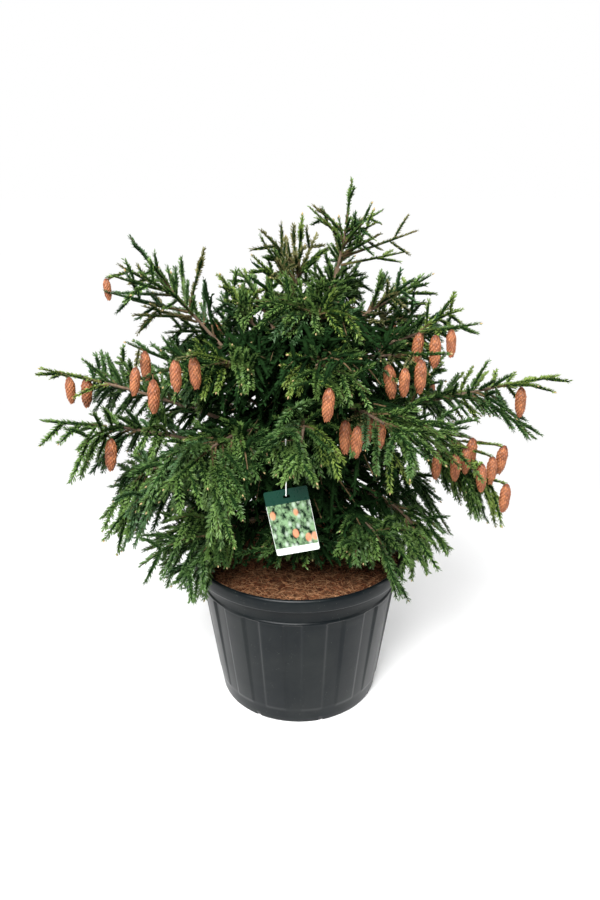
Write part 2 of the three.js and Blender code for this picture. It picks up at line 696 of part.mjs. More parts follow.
class Mass {
  constructor(row, limb, seed) {
    this.row = row;
    this.limb = limb;
    this.random = seeded(seed);
    this.start = row.top ? 0 : row.wood;
    this.leafy = Math.max(this.start, row.top ? 0 : LEAFY_FROM);
    const rest = 1 - this.leafy;
    const length = limb.at(this.leafy).distanceTo(limb.at(1));
    this.stemEnd = 1 - rest * Math.min(0.6, (END_SPRAY_SHARE * row.spray) / length);
    this.aimed = (row.aimed ?? []).map((aim) => this.aimedSpray(aim));
    this.chain = [...chainOf(limb, this.leafy, 1, 5), ...this.aimed.map((spray) => spray.ribLine())];
    this.stem = chainOf(limb, this.start, this.stemEnd, 6);
    this.solids = [];
    this.cones = [];
  }

  gapShare() {
    return GAP / this.limb.bow.getLength();
  }

  // The stem and the spray at its end in one skin. Its three edges are laid from the end
  // back to the root, each ring turned as little as can be from the one before.
  stemSolid(carrierSolid, endSpray) {
    const skin = new Skin();
    const free = this.start > 0 || this.row.top;
    const from = free ? this.start + this.gapShare() : 0;
    const count = free ? STEM_RINGS : STEM_RINGS_TO_CARRIER;
    let upper = endSpray.face;
    let beyond = null;
    for (let i = count - 1; i >= 0; i -= 1) {
      const share = THREE.MathUtils.lerp(from, this.stemEnd, i / (count - 1));
      const axis = this.limb.along(share);
      upper = upper.clone().addScaledVector(axis, -upper.dot(axis)).normalize();
      const [ridge, right, left] = ring(this.limb.at(share), axis, upper, this.limb.radius(share), 3)
        .map((point) => skin.put(point));
      const station = { ridge, edges: [left, right] };
      if (beyond) skin.sleeve(station, beyond);
      else endSpray.blade(skin, station);
      beyond = station;
    }
    skin.face(beyond.ridge, beyond.edges[0], beyond.edges[1]);
    return free ? skin.solid() : skin.solid().subtract(carrierSolid);
  }

  // The way a spray leaves the stem: forward by spread, to one side, rolled up or down
  sprayAt(share, side, tries) {
    const { spread, spray, hang, taper = TAPER, width = 1 } = this.row;
    const draw = () => 2 * this.random() - 1;
    const along = this.limb.along(share);
    const outward = this.limb.at(share).setZ(0).normalize();
    const upright = Math.abs(along.z) > UPRIGHT;
    const ground = upright ? outward : UP;
    const sideways = new THREE.Vector3().crossVectors(along, ground).normalize();
    const above = new THREE.Vector3().crossVectors(sideways, along).normalize();
    const roll = upright ? rad(UPRIGHT_ROLL) * draw() : rad(ROLL_MIDDLE + ROLL_RANGE * draw());
    const angle = rad(spread + ANGLE_RANGE * draw());
    const way = along.clone().multiplyScalar(Math.cos(angle))
      .addScaledVector(sideways, side * Math.sin(angle) * Math.cos(roll))
      .addScaledVector(above, -Math.sin(angle) * Math.sin(roll))
      .normalize();
    const rest = (share - this.leafy) / (1 - this.leafy);
    const full = spray * (1 - taper * rest) * (1 + LENGTH_RANGE * draw());
    const length = full * (1 - TRY_SHORTENS * tries);
    const droop = hang * (1 + HANG_RANGE * draw());
    const face = lookOf(this.limb.at(share)).addScaledVector(sideways, TILT_RANGE * draw());
    return new Spray(this.limb.at(share), way, length, droop, face, this.limb.radius(share), width);
  }

  fits(spray, spaces, wood) {
    return spray.stretches().every(([from, to]) => {
      const inside = [0, 0.25, 0.5, 0.75, 1].every((share) => {
        const point = from.clone().lerp(to, share);
        return clearOfPot(point) && clearOfLabel(point) && this.owns(point, spaces);
      });
      return inside && wood.every(({ from: a, to: b, radius }) => (
        stretchToStretch(from, to, a, b) > radius + LIMB_MARGIN));
    });
  }

  owns(point, spaces) {
    const own = chainDistance(point, this.chain);
    return spaces.every((chain) => chainDistance(point, chain) > own + SPACE_MARGIN);
  }

  // A spray that is aimed at a tip
  aimedSpray([share, ...target]) {
    const root = this.limb.at(share);
    const along = vec(target).sub(root);
    const length = along.length();
    return new Spray(root, along.normalize(), length, 0, lookOf(root), this.limb.radius(share), AIMED_WIDTH);
  }

  endSpray() {
    const root = this.limb.at(this.stemEnd);
    const along = this.limb.at(1).sub(root);
    const length = along.length();
    along.normalize();
    const look = lookOf(this.limb.at(1));
    return new Spray(root, along, length, 0, look, this.limb.radius(this.stemEnd), this.row.width ?? 1);
  }

  grow(spaces, wood, carrierSolid) {
    const { sprays } = this.row;
    const placed = [this.endSpray(), ...this.aimed.filter((spray) => this.fits(spray, spaces, wood))];
    for (let i = 0; i < sprays; i += 1) {
      const share = THREE.MathUtils.lerp(this.leafy, this.stemEnd, (i + 0.35) / sprays);
      const side = i % 2 === 0 ? 1 : -1;
      for (let tries = 0; tries < SPRAY_TRIES; tries += 1) {
        const spray = this.sprayAt(share, side, tries);
        const apart = placed.every((other) => other.clearOf(spray));
        if (apart && spray.length > SHORTEST_SPRAY && this.fits(spray, spaces, wood)) {
          placed.push(spray);
          break;
        }
      }
    }
    this.sprays = placed;
    const [endSpray, ...others] = placed;
    this.solids.push(this.stemSolid(carrierSolid, endSpray), ...others.map((spray) => spray.solid()));
  }

  // The point on the stem or on a spray's rib that a cone at a place hangs from
  nearestHold(place) {
    const holds = [0.2, 0.4, 0.6, 0.8, 0.96].map((part) => (
      this.limb.at(THREE.MathUtils.lerp(this.leafy, this.stemEnd, part))));
    this.sprays.forEach((spray) => holds.push(...CONE_HOLDS.map((share) => spray.rib(share))));
    const far = (hold) => hold.distanceTo(place) + 2 * Math.max(0, place.z + CONE_DROP - hold.z);
    return holds.sort((a, b) => far(a) - far(b))[0];
  }

  hangCone(place, random) {
    const hold = this.nearestHold(place);
    const top = place.clone().setZ(Math.min(place.z, hold.z - CONE_DROP));
    this.solids.push(coneSolid(hold, top, coneAxis(random)));
  }
}

// The mass whose stem is nearest to the middle of a cone
function massFor(top) {
  const middle = top.clone().addScaledVector(UP, -CONE_LENGTH / 2);
  const distances = masses.map((mass) => chainDistance(middle, mass.chain));
  return masses[distances.indexOf(Math.min(...distances))];
}

function clearOfPot(point) {
  const across = Math.hypot(point.x, point.y);
  return across > RIM_RADIUS + RIM_MARGIN || point.z > POT_HEIGHT + RIM_MARGIN;
}

// Label: a card that hangs by a tie from a side twig of the front middle mass

const trunk = new Trunk(new THREE.Vector3(0, 0, SOIL_LEVEL + GAP), vec(TRUNK.middle), vec(TRUNK.tip),
  TRUNK.foot, TRUNK.end);
const leftStem = limbOf(LEFT_STEM, trunk);
const carriers = { trunk, left_stem: leftStem };
const limbs = LIMBS.map((row) => limbOf(row, carriers[row.from]));
const masses = LIMBS.map((row, i) => new Mass(row, limbs[i], 11 + 7 * i));

const labelMass = masses.find((mass) => mass.row.name === 'front_middle');
const tieFoot = labelMass.limb.at(Math.min(TIE.share, labelMass.stemEnd * 0.97));
const tieEnd = tieFoot.clone().add(new THREE.Vector3(TIE.reach, 0, -TIE.fall));
const tieTop = tieFoot.clone().lerp(tieEnd, 0.78);
const tieTwigRadius = CONE_TWIG_RADIUS;
const tieBottom = tieTop.z + tieTwigRadius + GAP + TIE.wire - TIE.drop;
const slotTop = tieBottom + TIE.wire + GAP;

function clearOfLabel(point) {
  const top = tieTop.z + 12;
  const bottom = slotTop + LABEL.slotDrop - LABEL.height - LABEL_MARGIN;
  const middle = tieTop.x + (top - point.z) * Math.tan(rad(LABEL.turn)) * 0.7;
  return point.y > tieTop.y + LABEL_MARGIN
    || Math.abs(point.x - middle) > LABEL.width / 2 + LABEL_MARGIN
    || point.z > top
    || point.z < bottom;
}

function buildLabel() {
  const { width, height, thick, slotWidth, slotHeight, slotDrop, turn } = LABEL;
  const corner = 4;
  const outline = new THREE.Shape();
  const [left, right, top, bottom] = [-width / 2, width / 2, slotDrop, slotDrop - height];
  outline.moveTo(left + corner, bottom);
  outline.lineTo(right - corner, bottom);
  outline.lineTo(right, bottom + corner);
  outline.lineTo(right, top - corner);
  outline.lineTo(right - corner, top);
  outline.lineTo(left + corner, top);
  outline.lineTo(left, top - corner);
  outline.lineTo(left, bottom + corner);
  outline.closePath();
  const slot = new THREE.Path();
  slot.moveTo(-slotWidth / 2, -slotHeight);
  slot.lineTo(-slotWidth / 2, 0);
  slot.lineTo(slotWidth / 2, 0);
  slot.lineTo(slotWidth / 2, -slotHeight);
  slot.closePath();
  outline.holes.push(slot);
  const card = new THREE.ExtrudeGeometry(outline, { depth: thick, bevelEnabled: false });
  card.translate(0, 0, -thick / 2);
  card.rotateZ(rad(turn));
  card.rotateX(Math.PI / 2);
  card.translate(tieTop.x, tieTop.y, slotTop);
  addNode('plant_label', solidOfGeometry(card), 'card');
}

function buildTie() {
  const { halfWidth, wire, drop } = TIE;
  const top = tieTop.z + tieTwigRadius + GAP + wire;
  const corners = 6;
  const bend = halfWidth;
  const centres = [];
  [[top - bend, 0], [top - drop + bend, Math.PI]].forEach(([z, from]) => {
    for (let i = 0; i <= corners; i += 1) {
      const turn = from + (Math.PI * i) / corners;
      centres.push(new THREE.Vector3(tieTop.x, tieTop.y + bend * Math.cos(turn), z + bend * Math.sin(turn)));
    }
  });
  const count = centres.length;
  const rings = centres.map((centre, i) => {
    const axis = centres[(i + 1) % count].clone().sub(centres[(i + count - 1) % count]).normalize();
    return ring(centre, axis, new THREE.Vector3(1, 0, 0), wire, 5);
  });
  addNode('label_tie', skin(rings, true), 'tie');
}

// Assembly

buildPot();
buildSoil();

const trunkGrown = trunk.solid(GAP);
addNode('trunk', trunk.solid(), 'bark');
addNode('left_stem', leftStem.tube(0, 1, CARRIER_RINGS, CARRIER_SIDES).subtract(trunkGrown), 'bark');
const leftStemGrown = leftStem.tube(0, 1, CARRIER_RINGS, CARRIER_SIDES, GAP);
const carrierSolids = { trunk: trunkGrown, left_stem: leftStemGrown };

const stemWood = [trunk, leftStem].map((limb) => chainOf(limb, 0, 1, 12)).flat();
const boughWood = masses.map((mass) => (mass.start > 0 ? chainOf(mass.limb, 0, mass.start, 6) : []));

const coneRandom = seeded(77);
CONES.map(vec).forEach((top) => massFor(top).cones.push(top));

masses.forEach((mass, i) => {
  const { name, wood, from } = mass.row;
  if (wood) {
    const bough = mass.limb.tube(0, wood, BOUGH_RINGS, BOUGH_SIDES);
    addNode(`${name}_bough`, bough.subtract(carrierSolids[from]), 'bark');
  }
  const others = masses.filter((_, other) => other !== i);
  const spaces = others.map((other) => other.chain);
  const wooden = [...stemWood, ...boughWood.flat(), ...others.flatMap((other) => other.stem)];
  mass.grow(spaces, wooden, carrierSolids[from]);
  mass.cones.forEach((top) => mass.hangCone(top, coneRandom));
  if (mass === labelMass) mass.solids.push(twigSolid(tieFoot, tieEnd, tieTwigRadius));
  addNode(`${name}_foliage`, mass.solids.reduce((whole, solid) => whole.add(solid)), 'needles');
});

buildLabel();
buildTie();

export default model;
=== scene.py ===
"""A potted cone-bearing dwarf Norway spruce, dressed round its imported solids.

The crown is grown by the same seeded rule as the solids and carried on to needle shoots,
needles, buds and cone scales. Growth is worked out in millimetres, meshes are in metres.
"""

import logging
from dataclasses import dataclass, field
from enum import Enum
from math import ceil, copysign, cos, exp, hypot, pi, radians, sin, sqrt, tan, tau

import bmesh
import bpy
import numpy as np
from bpy.types import Material, Mesh, Node, NodeSocket, NodeTree, Object
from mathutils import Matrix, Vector, noise
from numpy.linalg import norm


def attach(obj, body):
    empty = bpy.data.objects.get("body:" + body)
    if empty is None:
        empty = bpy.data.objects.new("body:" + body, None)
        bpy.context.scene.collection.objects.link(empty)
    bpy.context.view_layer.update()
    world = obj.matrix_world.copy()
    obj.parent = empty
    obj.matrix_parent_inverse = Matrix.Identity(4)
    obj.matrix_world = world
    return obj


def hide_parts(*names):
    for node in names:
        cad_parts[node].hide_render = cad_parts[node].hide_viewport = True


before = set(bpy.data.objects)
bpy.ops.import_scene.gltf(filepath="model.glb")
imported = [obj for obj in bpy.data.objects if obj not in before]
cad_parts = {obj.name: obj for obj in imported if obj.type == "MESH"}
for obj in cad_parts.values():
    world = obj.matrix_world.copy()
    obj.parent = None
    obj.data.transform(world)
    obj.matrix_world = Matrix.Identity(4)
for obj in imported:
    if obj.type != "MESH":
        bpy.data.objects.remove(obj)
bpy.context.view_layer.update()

Array = np.ndarray
Pair = tuple[float, float]
Triple = Colour = tuple[float, float, float]
Feed = float | tuple | NodeSocket

log = logging.getLogger("spruce")

MM = 0.001
UP = np.array((0.0, 0.0, 1.0))
LEVEL = np.array((1.0, 1.0, 0.0))
BODY = "root"
GREY = (0.5, 0.5, 0.5, 1.0)

# Heights and radii of the pot that the crown keeps clear of, in mm
POT_HEIGHT = 355.0
RIM_RADIUS = 250.0
SOIL_LEVEL = 335.0
GAP = 0.3

# Where the photo was taken from, in mm
PHOTO_EYE = (2.7, -1574.0, 1168.0)


# Seeded numbers and straight stretches


class Seeded:
    """The same seed always gives the same row of numbers between 0 and 1."""

    MASK = 0xFFFFFFFF

    def __init__(self, seed: int) -> None:
        """Start the row.

        Args:
            seed: any whole number.
        """
        self.state = seed & self.MASK

    def __call__(self) -> float:
        """Draw the next number.

        Returns:
            float: at least 0 and below 1.
        """
        self.state = (self.state + 0x6D2B79F5) & self.MASK
        mixed = ((self.state ^ (self.state >> 15)) * (1 | self.state)) & self.MASK
        mixed = ((mixed + (((mixed ^ (mixed >> 7)) * (61 | mixed)) & self.MASK)) & self.MASK) ^ mixed
        return (mixed ^ (mixed >> 14)) / 4294967296.0

    def between(self, low: float, high: float) -> float:
        """Return the next number, spread from low to high."""
        return low + (high - low) * self()


def unit(vector: Array) -> Array:
    """Return the vector at length 1."""
    return vector / max(float(norm(vector)), 1e-12)


def lerp(low: float, high: float, share: float) -> float:
    """Return the value at a share of the way from low to high."""
    return low + (high - low) * share


def smooth_step(share: Array | float) -> Array | float:
    """Return 0 to 1 with soft ends for a share that is clipped to 0..1."""
    clipped = np.clip(share, 0.0, 1.0)
    return clipped * clipped * (3.0 - 2.0 * clipped)


@dataclass
class Stretches:
    """Straight stretches with a radius and an owner each."""

    start: Array
    end: Array
    radius: Array
    owner: Array

    @classmethod
    def joined(cls, parts: list["Stretches"]) -> "Stretches":
        """Return all parts as one set."""
        return cls(*(np.concatenate([getattr(part, name) for part in parts])
                     for name in ("start", "end", "radius", "owner")))

    def of(self, keep: Array) -> "Stretches":
        """Return the stretches that a mask keeps."""
        return Stretches(self.start[keep], self.end[keep], self.radius[keep], self.owner[keep])

    def distance_of_points(self, points: Array) -> Array:
        """Measure from points to every stretch.

        Args:
            points: the points.

        Returns:
            Array: the distances, as points by stretches.
        """
        span = self.end - self.start
        away = points[:, None, :] - self.start[None]
        share = np.clip((away * span).sum(-1) / (span * span).sum(-1), 0.0, 1.0)
        return norm(away - share[..., None] * span, axis=-1)

    def distance_of_lines(self, starts: Array, ends: Array) -> Array:
        """Measure from given stretches to every stretch of this set.

        Args:
            starts: where they start.
            ends: where they end.

        Returns:
            Array: the distances, as given by own stretches.
        """
        a = (ends - starts)[:, None, :]
        b = (self.end - self.start)[None]
        between = starts[:, None, :] - self.start[None]
        aa, bb, ab = (a * a).sum(-1), (b * b).sum(-1), (a * b).sum(-1)
        ac, bc = (a * between).sum(-1), (b * between).sum(-1)
        spread = aa * bb - ab * ab
        first = np.where(spread > 1e-9, (ab * bc - ac * bb) / np.where(spread > 1e-9, spread, 1.0), 0.0)
        second = np.clip((ab * np.clip(first, 0.0, 1.0) + bc) / bb, 0.0, 1.0)
        first = np.clip((ab * second - ac) / aa, 0.0, 1.0)
        return norm(between + a * first[..., None] - b * second[..., None], axis=-1)


# The rule of growth


@dataclass(frozen=True)
class Row:
    """One limb: where it leaves its stem, where it ends and how its sprays stand."""

    name: str
    carrier: str
    tip: Triple
    foot: float = 0.0
    lift: float = 0.0
    wood: float = 0.0
    thick: float | None = None
    arch: float = 0.5
    spray: float = 165.0
    sprays: int = 8
    hang: float = 0.0
    spread: float = 44.0
    taper: float = 0.4
    width: float = 1.0
    aimed: tuple = ()
    swing: Pair = (0.0, 0.0)
    end: float | None = None

    @property
    def top(self) -> bool:
        """Say whether the limb carries its stem on past the stem's tip."""
        return self.foot == 0.0


LEFT_STEM = Row("left_stem", "trunk", (-12, 4, 930), 470, thick=15, end=5, swing=(-70, 22))

ROWS = (
    Row("leader", "trunk", (106, 10, 1160), width=0.65, spray=120, sprays=5, hang=0.02, spread=58,
        aimed=((0.12, 240, 10, 1062), (0.3, 82, 4, 1085), (0.02, 218, 30, 1018), (0.05, 40, -20, 1045))),
    Row("left_crown", "left_stem", (7, 0, 1090), spray=150, hang=0.05, spread=48,
        aimed=((0.1, -78, 0, 1052), (0.02, -90, -30, 1015), (0.2, 54, -10, 1030))),
    Row("outer_left", "left_stem", (-335, -30, 1053), 705, -45, 0.55, 8, width=0.65, spray=150, sprays=6,
        aimed=((0.64, -189, -32, 1028), (0.72, -358, -45, 1000), (0.62, -385, -60, 950),
               (0.6, -330, -70, 905))),
    Row("left_top", "left_stem", (-157, -20, 975), 805, -30, 0, 6, hang=0.15, spread=48),
    Row("right_top", "trunk", (272, 0, 975), 835, 5, 0.3, 7, hang=0.1, spread=46),
    Row("front_top", "trunk", (25, -200, 935), 865, 15, 0, 6, hang=0.25, spread=48),
    Row("back_top", "trunk", (95, 210, 1000), 850, -10, 0, 6, hang=0.2, spread=48),
    Row("back_left_top", "left_stem", (-125, 175, 965), 825, -10, 0, 6, hang=0.2, spread=48),
    Row("right_high", "trunk", (366, -50, 884), 745, 55, 0.35, 8, hang=0.25),
    Row("left_high", "left_stem", (-345, -80, 850), 660, 25, 0.35, 8, spray=175, hang=0.3),
    Row("front_left_high", "left_stem", (-195, -235, 865), 725, 30, 0.3, 7, spray=170, hang=0.3),
    Row("front_high", "trunk", (30, -325, 820), 800, 45, 0, 7, spray=170, hang=0.4),
    Row("front_right_high", "trunk", (285, -175, 850), 785, 15, 0.3, 7, hang=0.35),
    Row("back_right_high", "trunk", (280, 205, 880), 765, 25, 0.35, 7, spray=175, sprays=7, hang=0.3),
    Row("back_high", "trunk", (20, 340, 865), 720, 35, 0.35, 7, spray=175, sprays=7, hang=0.3),
    Row("back_left_high", "left_stem", (-275, 210, 870), 745, 25, 0.35, 7, spray=175, sprays=7, hang=0.3),
    Row("left_long", "left_stem", (-545, -20, 782), 600, 35, 0.4, 9, spray=185, hang=0.3, spread=42,
        taper=0.65),
    Row("left_middle", "left_stem", (-525, -110, 695), 540, 50, 0.35, 9, spray=190, hang=0.45),
    Row("right_long", "trunk", (558, 0, 762), 640, 10, 0.35, 9, spray=190, hang=0.35, spread=42, taper=0.72),
    Row("right_weeping", "trunk", (445, -75, 490), 590, 230, 0.3, 9, 0.75, spray=180, hang=0.45, spread=42),
    Row("front_middle", "trunk", (0, -385, 695), 665, 70, 0.3, 8, spray=140, sprays=11, hang=0.4, spread=48),
    Row("front_left_middle", "left_stem", (-235, -355, 650), 640, 75, 0.3, 8, spray=185, hang=0.5),
    Row("front_right_middle", "trunk", (225, -340, 700), 700, 65, 0.3, 8, spray=180, hang=0.45),
    Row("back_middle", "trunk", (50, 470, 700), 615, 80, 0.35, 8, spray=190, sprays=7, hang=0.45),
    Row("back_left_middle", "left_stem", (-355, 310, 690), 570, 75, 0.35, 8, spray=190, sprays=7, hang=0.45),
    Row("back_right_middle", "trunk", (370, 290, 700), 565, 75, 0.35, 8, spray=190, sprays=7, hang=0.45),
    Row("left_low", "trunk", (-420, -115, 480), 455, 230, 0, 8, 0.8, spray=185, hang=0.55, spread=42),
    Row("right_low", "trunk", (290, -110, 315), 500, 160, 0, 8, 0.95, spray=180, hang=0.5, spread=42),
    Row("left_skirt", "trunk", (-287, -30, 245), 415, 215, 0, 7, 1, spray=170, hang=0.45, spread=42),
    Row("front_low", "trunk", (15, -310, 430), 405, 100, 0, 7, spray=170, hang=0.3, spread=48),
    Row("front_left_low", "trunk", (-235, -265, 400), 430, 130, 0, 7, 0.8, spray=175, hang=0.45),
    Row("front_right_low", "trunk", (205, -260, 375), 470, 140, 0, 7, 0.85, spray=175, hang=0.45),
    Row("back_low", "trunk", (10, 350, 420), 425, 130, 0, 7, 0.8, spray=180, sprays=7, hang=0.45),
    Row("back_left_low", "trunk", (-290, 240, 400), 440, 140, 0, 7, 0.8, spray=180, sprays=7, hang=0.45),
    Row("back_right_low", "trunk", (320, 190, 400), 480, 140, 0, 7, 0.8, spray=180, sprays=7, hang=0.45),
)

MASS_NODES = [f"{row.name}_foliage" for row in ROWS]
BOUGH_NODES = [f"{row.name}_bough" for row in ROWS if row.wood > 0.0]

# Where the cones hang: the top of each, in mm
CONE_TOPS = (
    (250, -40, 890), (278, -66, 880), (314, -40, 890),
    (55, -290, 815), (90, -205, 810), (112, -232, 805), (138, -168, 795), (160, -202, 803),
    (176, -138, 820), (204, -172, 822), (238, -146, 832),
    (480, -10, 740),
    (290, -110, 625), (325, -125, 630), (352, -95, 632), (378, -130, 612),
    (372, -62, 648), (408, -100, 618), (438, -72, 636), (440, -110, 556),
    (-312, -80, 868), (-322, -124, 812), (-286, -140, 797), (-196, -206, 885), (-226, -234, 870),
    (-482, -44, 795), (-456, -4, 785), (-385, -120, 680), (-385, -50, 975),
    (215, 165, 860), (248, 150, 870), (40, 300, 830), (-190, 180, 850), (-280, 240, 690),
    (330, 240, 690), (60, 400, 690),
)


@dataclass(frozen=True)
class Rule:
    """The named values of the rule of growth, in mm, degrees and shares."""

    stem_end: float = 3.4
    last_tooth_end: float = 0.79
    teeth: int = 2
    tooth_lengths: Pair = (0.58, 0.44)
    tooth_angle: float = 48.0
    tooth_droop: float = 0.1
    notch: float = 0.12
    roll_middle: float = 32.0
    roll_range: float = 44.0
    upright_roll: float = 70.0
    upright: float = 0.8
    angle_range: float = 12.0
    length_range: float = 0.12
    hang_range: float = 0.3
    tilt_range: float = 0.35
    try_shortens: float = 0.045
    look_up: float = 0.3
    look_out: float = 0.95
    leafy_from: float = 0.34
    tries: int = 14
    aimed_width: float = 0.55
    shortest: float = 70.0
    end_spray: float = 0.72
    space_margin: float = 3.0
    limb_margin: float = 4.0
    spray_margin: float = 4.0
    rim_margin: float = 9.0
    label_margin: float = 14.0
    cone_length: float = 79.0
    cone_lean: float = 9.0
    cone_drop: float = 5.0
    cone_holds: tuple[float, ...] = (0.35, 0.5, 0.65, 0.8)


RULE = Rule()


@dataclass
class Limb:
    """One bow of wood: foot, control point and tip, with the radii at foot and tip."""

    foot: Array
    middle: Array
    tip: Array
    thick: float
    end: float

    def at(self, share: float) -> Array:
        """Return the point at a share of the way."""
        rest = 1.0 - share
        return rest * rest * self.foot + 2.0 * rest * share * self.middle + share * share * self.tip

    def along(self, share: float) -> Array:
        """Return the direction at a share of the way."""
        return unit(self.at(min(share + 1e-4, 1.0)) - self.at(max(share - 1e-4, 0.0)))

    def radius(self, share: float) -> float:
        """Return the radius at a share of the way."""
        return lerp(self.thick, self.end, share)

    def share_at_height(self, height: float) -> float:
        """Find where the limb reaches a height.

        Args:
            height: the height.

        Returns:
            float: the share of the way there.
        """
        low, high = 0.0, 1.0
        for _ in range(30):
            middle = (low + high) / 2.0
            low, high = (middle, high) if self.at(middle)[2] < height else (low, middle)
        return (low + high) / 2.0

    def chain(self, begin: float, finish: float, count: int, owner: int) -> Stretches:
        """Cut a part of the limb into straight stretches.

        Args:
            begin: the share where it starts.
            finish: the share where it ends.
            count: how many stretches.
            owner: the number of what they belong to.

        Returns:
            Stretches: the stretches.
        """
        shares = [lerp(begin, finish, step / count) for step in range(count + 1)]
        points = np.array([self.at(share) for share in shares])
        radii = np.array([self.radius((a + b) / 2.0) for a, b in zip(shares, shares[1:])])
        return Stretches(points[:-1], points[1:], radii, np.full(count, owner))


class Trunk(Limb):
    """The trunk, which flares where it enters the soil."""

    FLARE = 13.0
    FLARE_HEIGHT = 20.0

    def radius(self, share: float) -> float:
        """Return the radius with the flare at the foot."""
        height = share * (self.tip[2] - self.foot[2])
        return super().radius(share) + self.FLARE * exp(-height / self.FLARE_HEIGHT)


def limb_of(row: Row, carrier: Limb) -> Limb:
    """Return the limb that a row describes.

    Args:
        row: its sizes.
        carrier: the stem that it leaves.

    Returns:
        Limb: the bow, with its radii.
    """
    tip = np.array(row.tip, dtype=float)
    thick = carrier.end if row.thick is None else row.thick
    if row.top:
        foot = carrier.at(1.0)
        ahead = foot + carrier.along(1.0) * 0.45 * norm(tip - foot)
        return Limb(foot, ahead, tip, thick, RULE.stem_end)
    foot = carrier.at(carrier.share_at_height(row.foot))
    middle = foot + (tip - foot) * row.arch
    middle[:2] += row.swing
    middle[2] = (foot[2] + tip[2]) / 2.0 + row.lift
    return Limb(foot, middle, tip, thick, RULE.stem_end if row.end is None else row.end)


def look_of(place: Array) -> Array:
    """Return the way a spray's flat looks at a place: up, and outwards."""
    return UP * RULE.look_up + unit(place * LEVEL) * RULE.look_out


@dataclass
class Station:
    """A place on a limb, with the directions that a spray is turned by."""

    limb: Limb
    share: float

    def __post_init__(self) -> None:
        """Work out the directions."""
        self.place, self.along = self.limb.at(self.share), self.limb.along(self.share)
        self.upright = abs(self.along[2]) > RULE.upright
        self.sideways = unit(np.cross(self.along, unit(self.place * LEVEL) if self.upright else UP))

    def spray(self, side: int, angle: float, roll: float, length: float, hang: float, tilt: float,
              width: float) -> "Spray":
        """Return a spray that leaves here.

        Args:
            side: the side of the limb, -1 or 1.
            angle: the angle to the limb, in degrees.
            roll: how far it is turned down round the limb, in degrees.
            length: its length.
            hang: the share of its length that its tip droops.
            tilt: how far its flat tilts sideways.
            width: the share of the usual width.

        Returns:
            Spray: the spray.
        """
        angle, roll = radians(angle), radians(roll)
        above = unit(np.cross(self.sideways, self.along))
        way = unit(self.along * cos(angle) + self.sideways * (side * sin(angle) * cos(roll))
                   - above * (sin(angle) * sin(roll)))
        return Spray(self.place, way, length, hang, look_of(self.place) + self.sideways * tilt,
                     self.limb.radius(self.share), width)


@dataclass
class Spray:
    """One spray: a rib that droops, and side shoots on both sides of it.

    Hang is the share of its length that its tip droops, face roughly the way its flat looks, thick
    the stem's radius at its root, and width the share of the usual width.
    """

    root: Array
    along: Array
    length: float
    hang: float
    face: Array
    thick: float
    width: float
    lines: tuple[Array, Array] | None = None

    def __post_init__(self) -> None:
        """Square the frame."""
        self.across = unit(np.cross(self.along, self.face))
        self.face = unit(np.cross(self.across, self.along))

    def rib(self, share: float) -> Array:
        """Return the point at a share of the rib."""
        return self.root + self.along * (self.length * share) - UP * (self.hang * self.length * share * share)

    def edge(self, share: float, side: int) -> Array:
        """Return the edge of the blade between two side shoots."""
        return self.rib(share) + self.across * (side * RULE.notch * self.width * self.length)

    def station(self, tooth: float) -> float:
        """Return the share of the rib where a tooth starts."""
        return RULE.last_tooth_end * tooth / RULE.teeth

    def tooth(self, index: int, side: int) -> tuple[Array, Array]:
        """Place a tooth of the blade.

        Args:
            index: its number along the rib.
            side: its side, -1 or 1.

        Returns:
            tuple[Array, Array]: its foot and its tip.
        """
        part = lerp(*RULE.tooth_lengths, index / (RULE.teeth - 1))
        length = self.width * self.length * part
        foot = self.rib(self.station(index + 0.5))
        angle = radians(RULE.tooth_angle)
        tip = (foot + self.along * (length * cos(angle)) + self.across * (side * length * sin(angle))
               - UP * ((RULE.tooth_droop + self.hang * 0.6) * length))
        return foot, tip

    def stretches(self) -> tuple[Array, Array]:
        """Work out the lines that bound the blade, once.

        Returns:
            tuple[Array, Array]: their starts and their ends.
        """
        if self.lines is None:
            half = self.rib(0.5)
            pairs = [(self.rib(0.16), half), (half, self.rib(1.0))]
            for index in range(RULE.teeth):
                for side in (-1, 1):
                    foot, tip = self.tooth(index, side)
                    near = self.rib(0.1) if index == 0 else self.edge(self.station(index), side)
                    pairs += [(foot, tip), (near, tip), (self.edge(self.station(index + 1), side), tip)]
            self.lines = tuple(np.array(ends) for ends in zip(*pairs))
        return self.lines


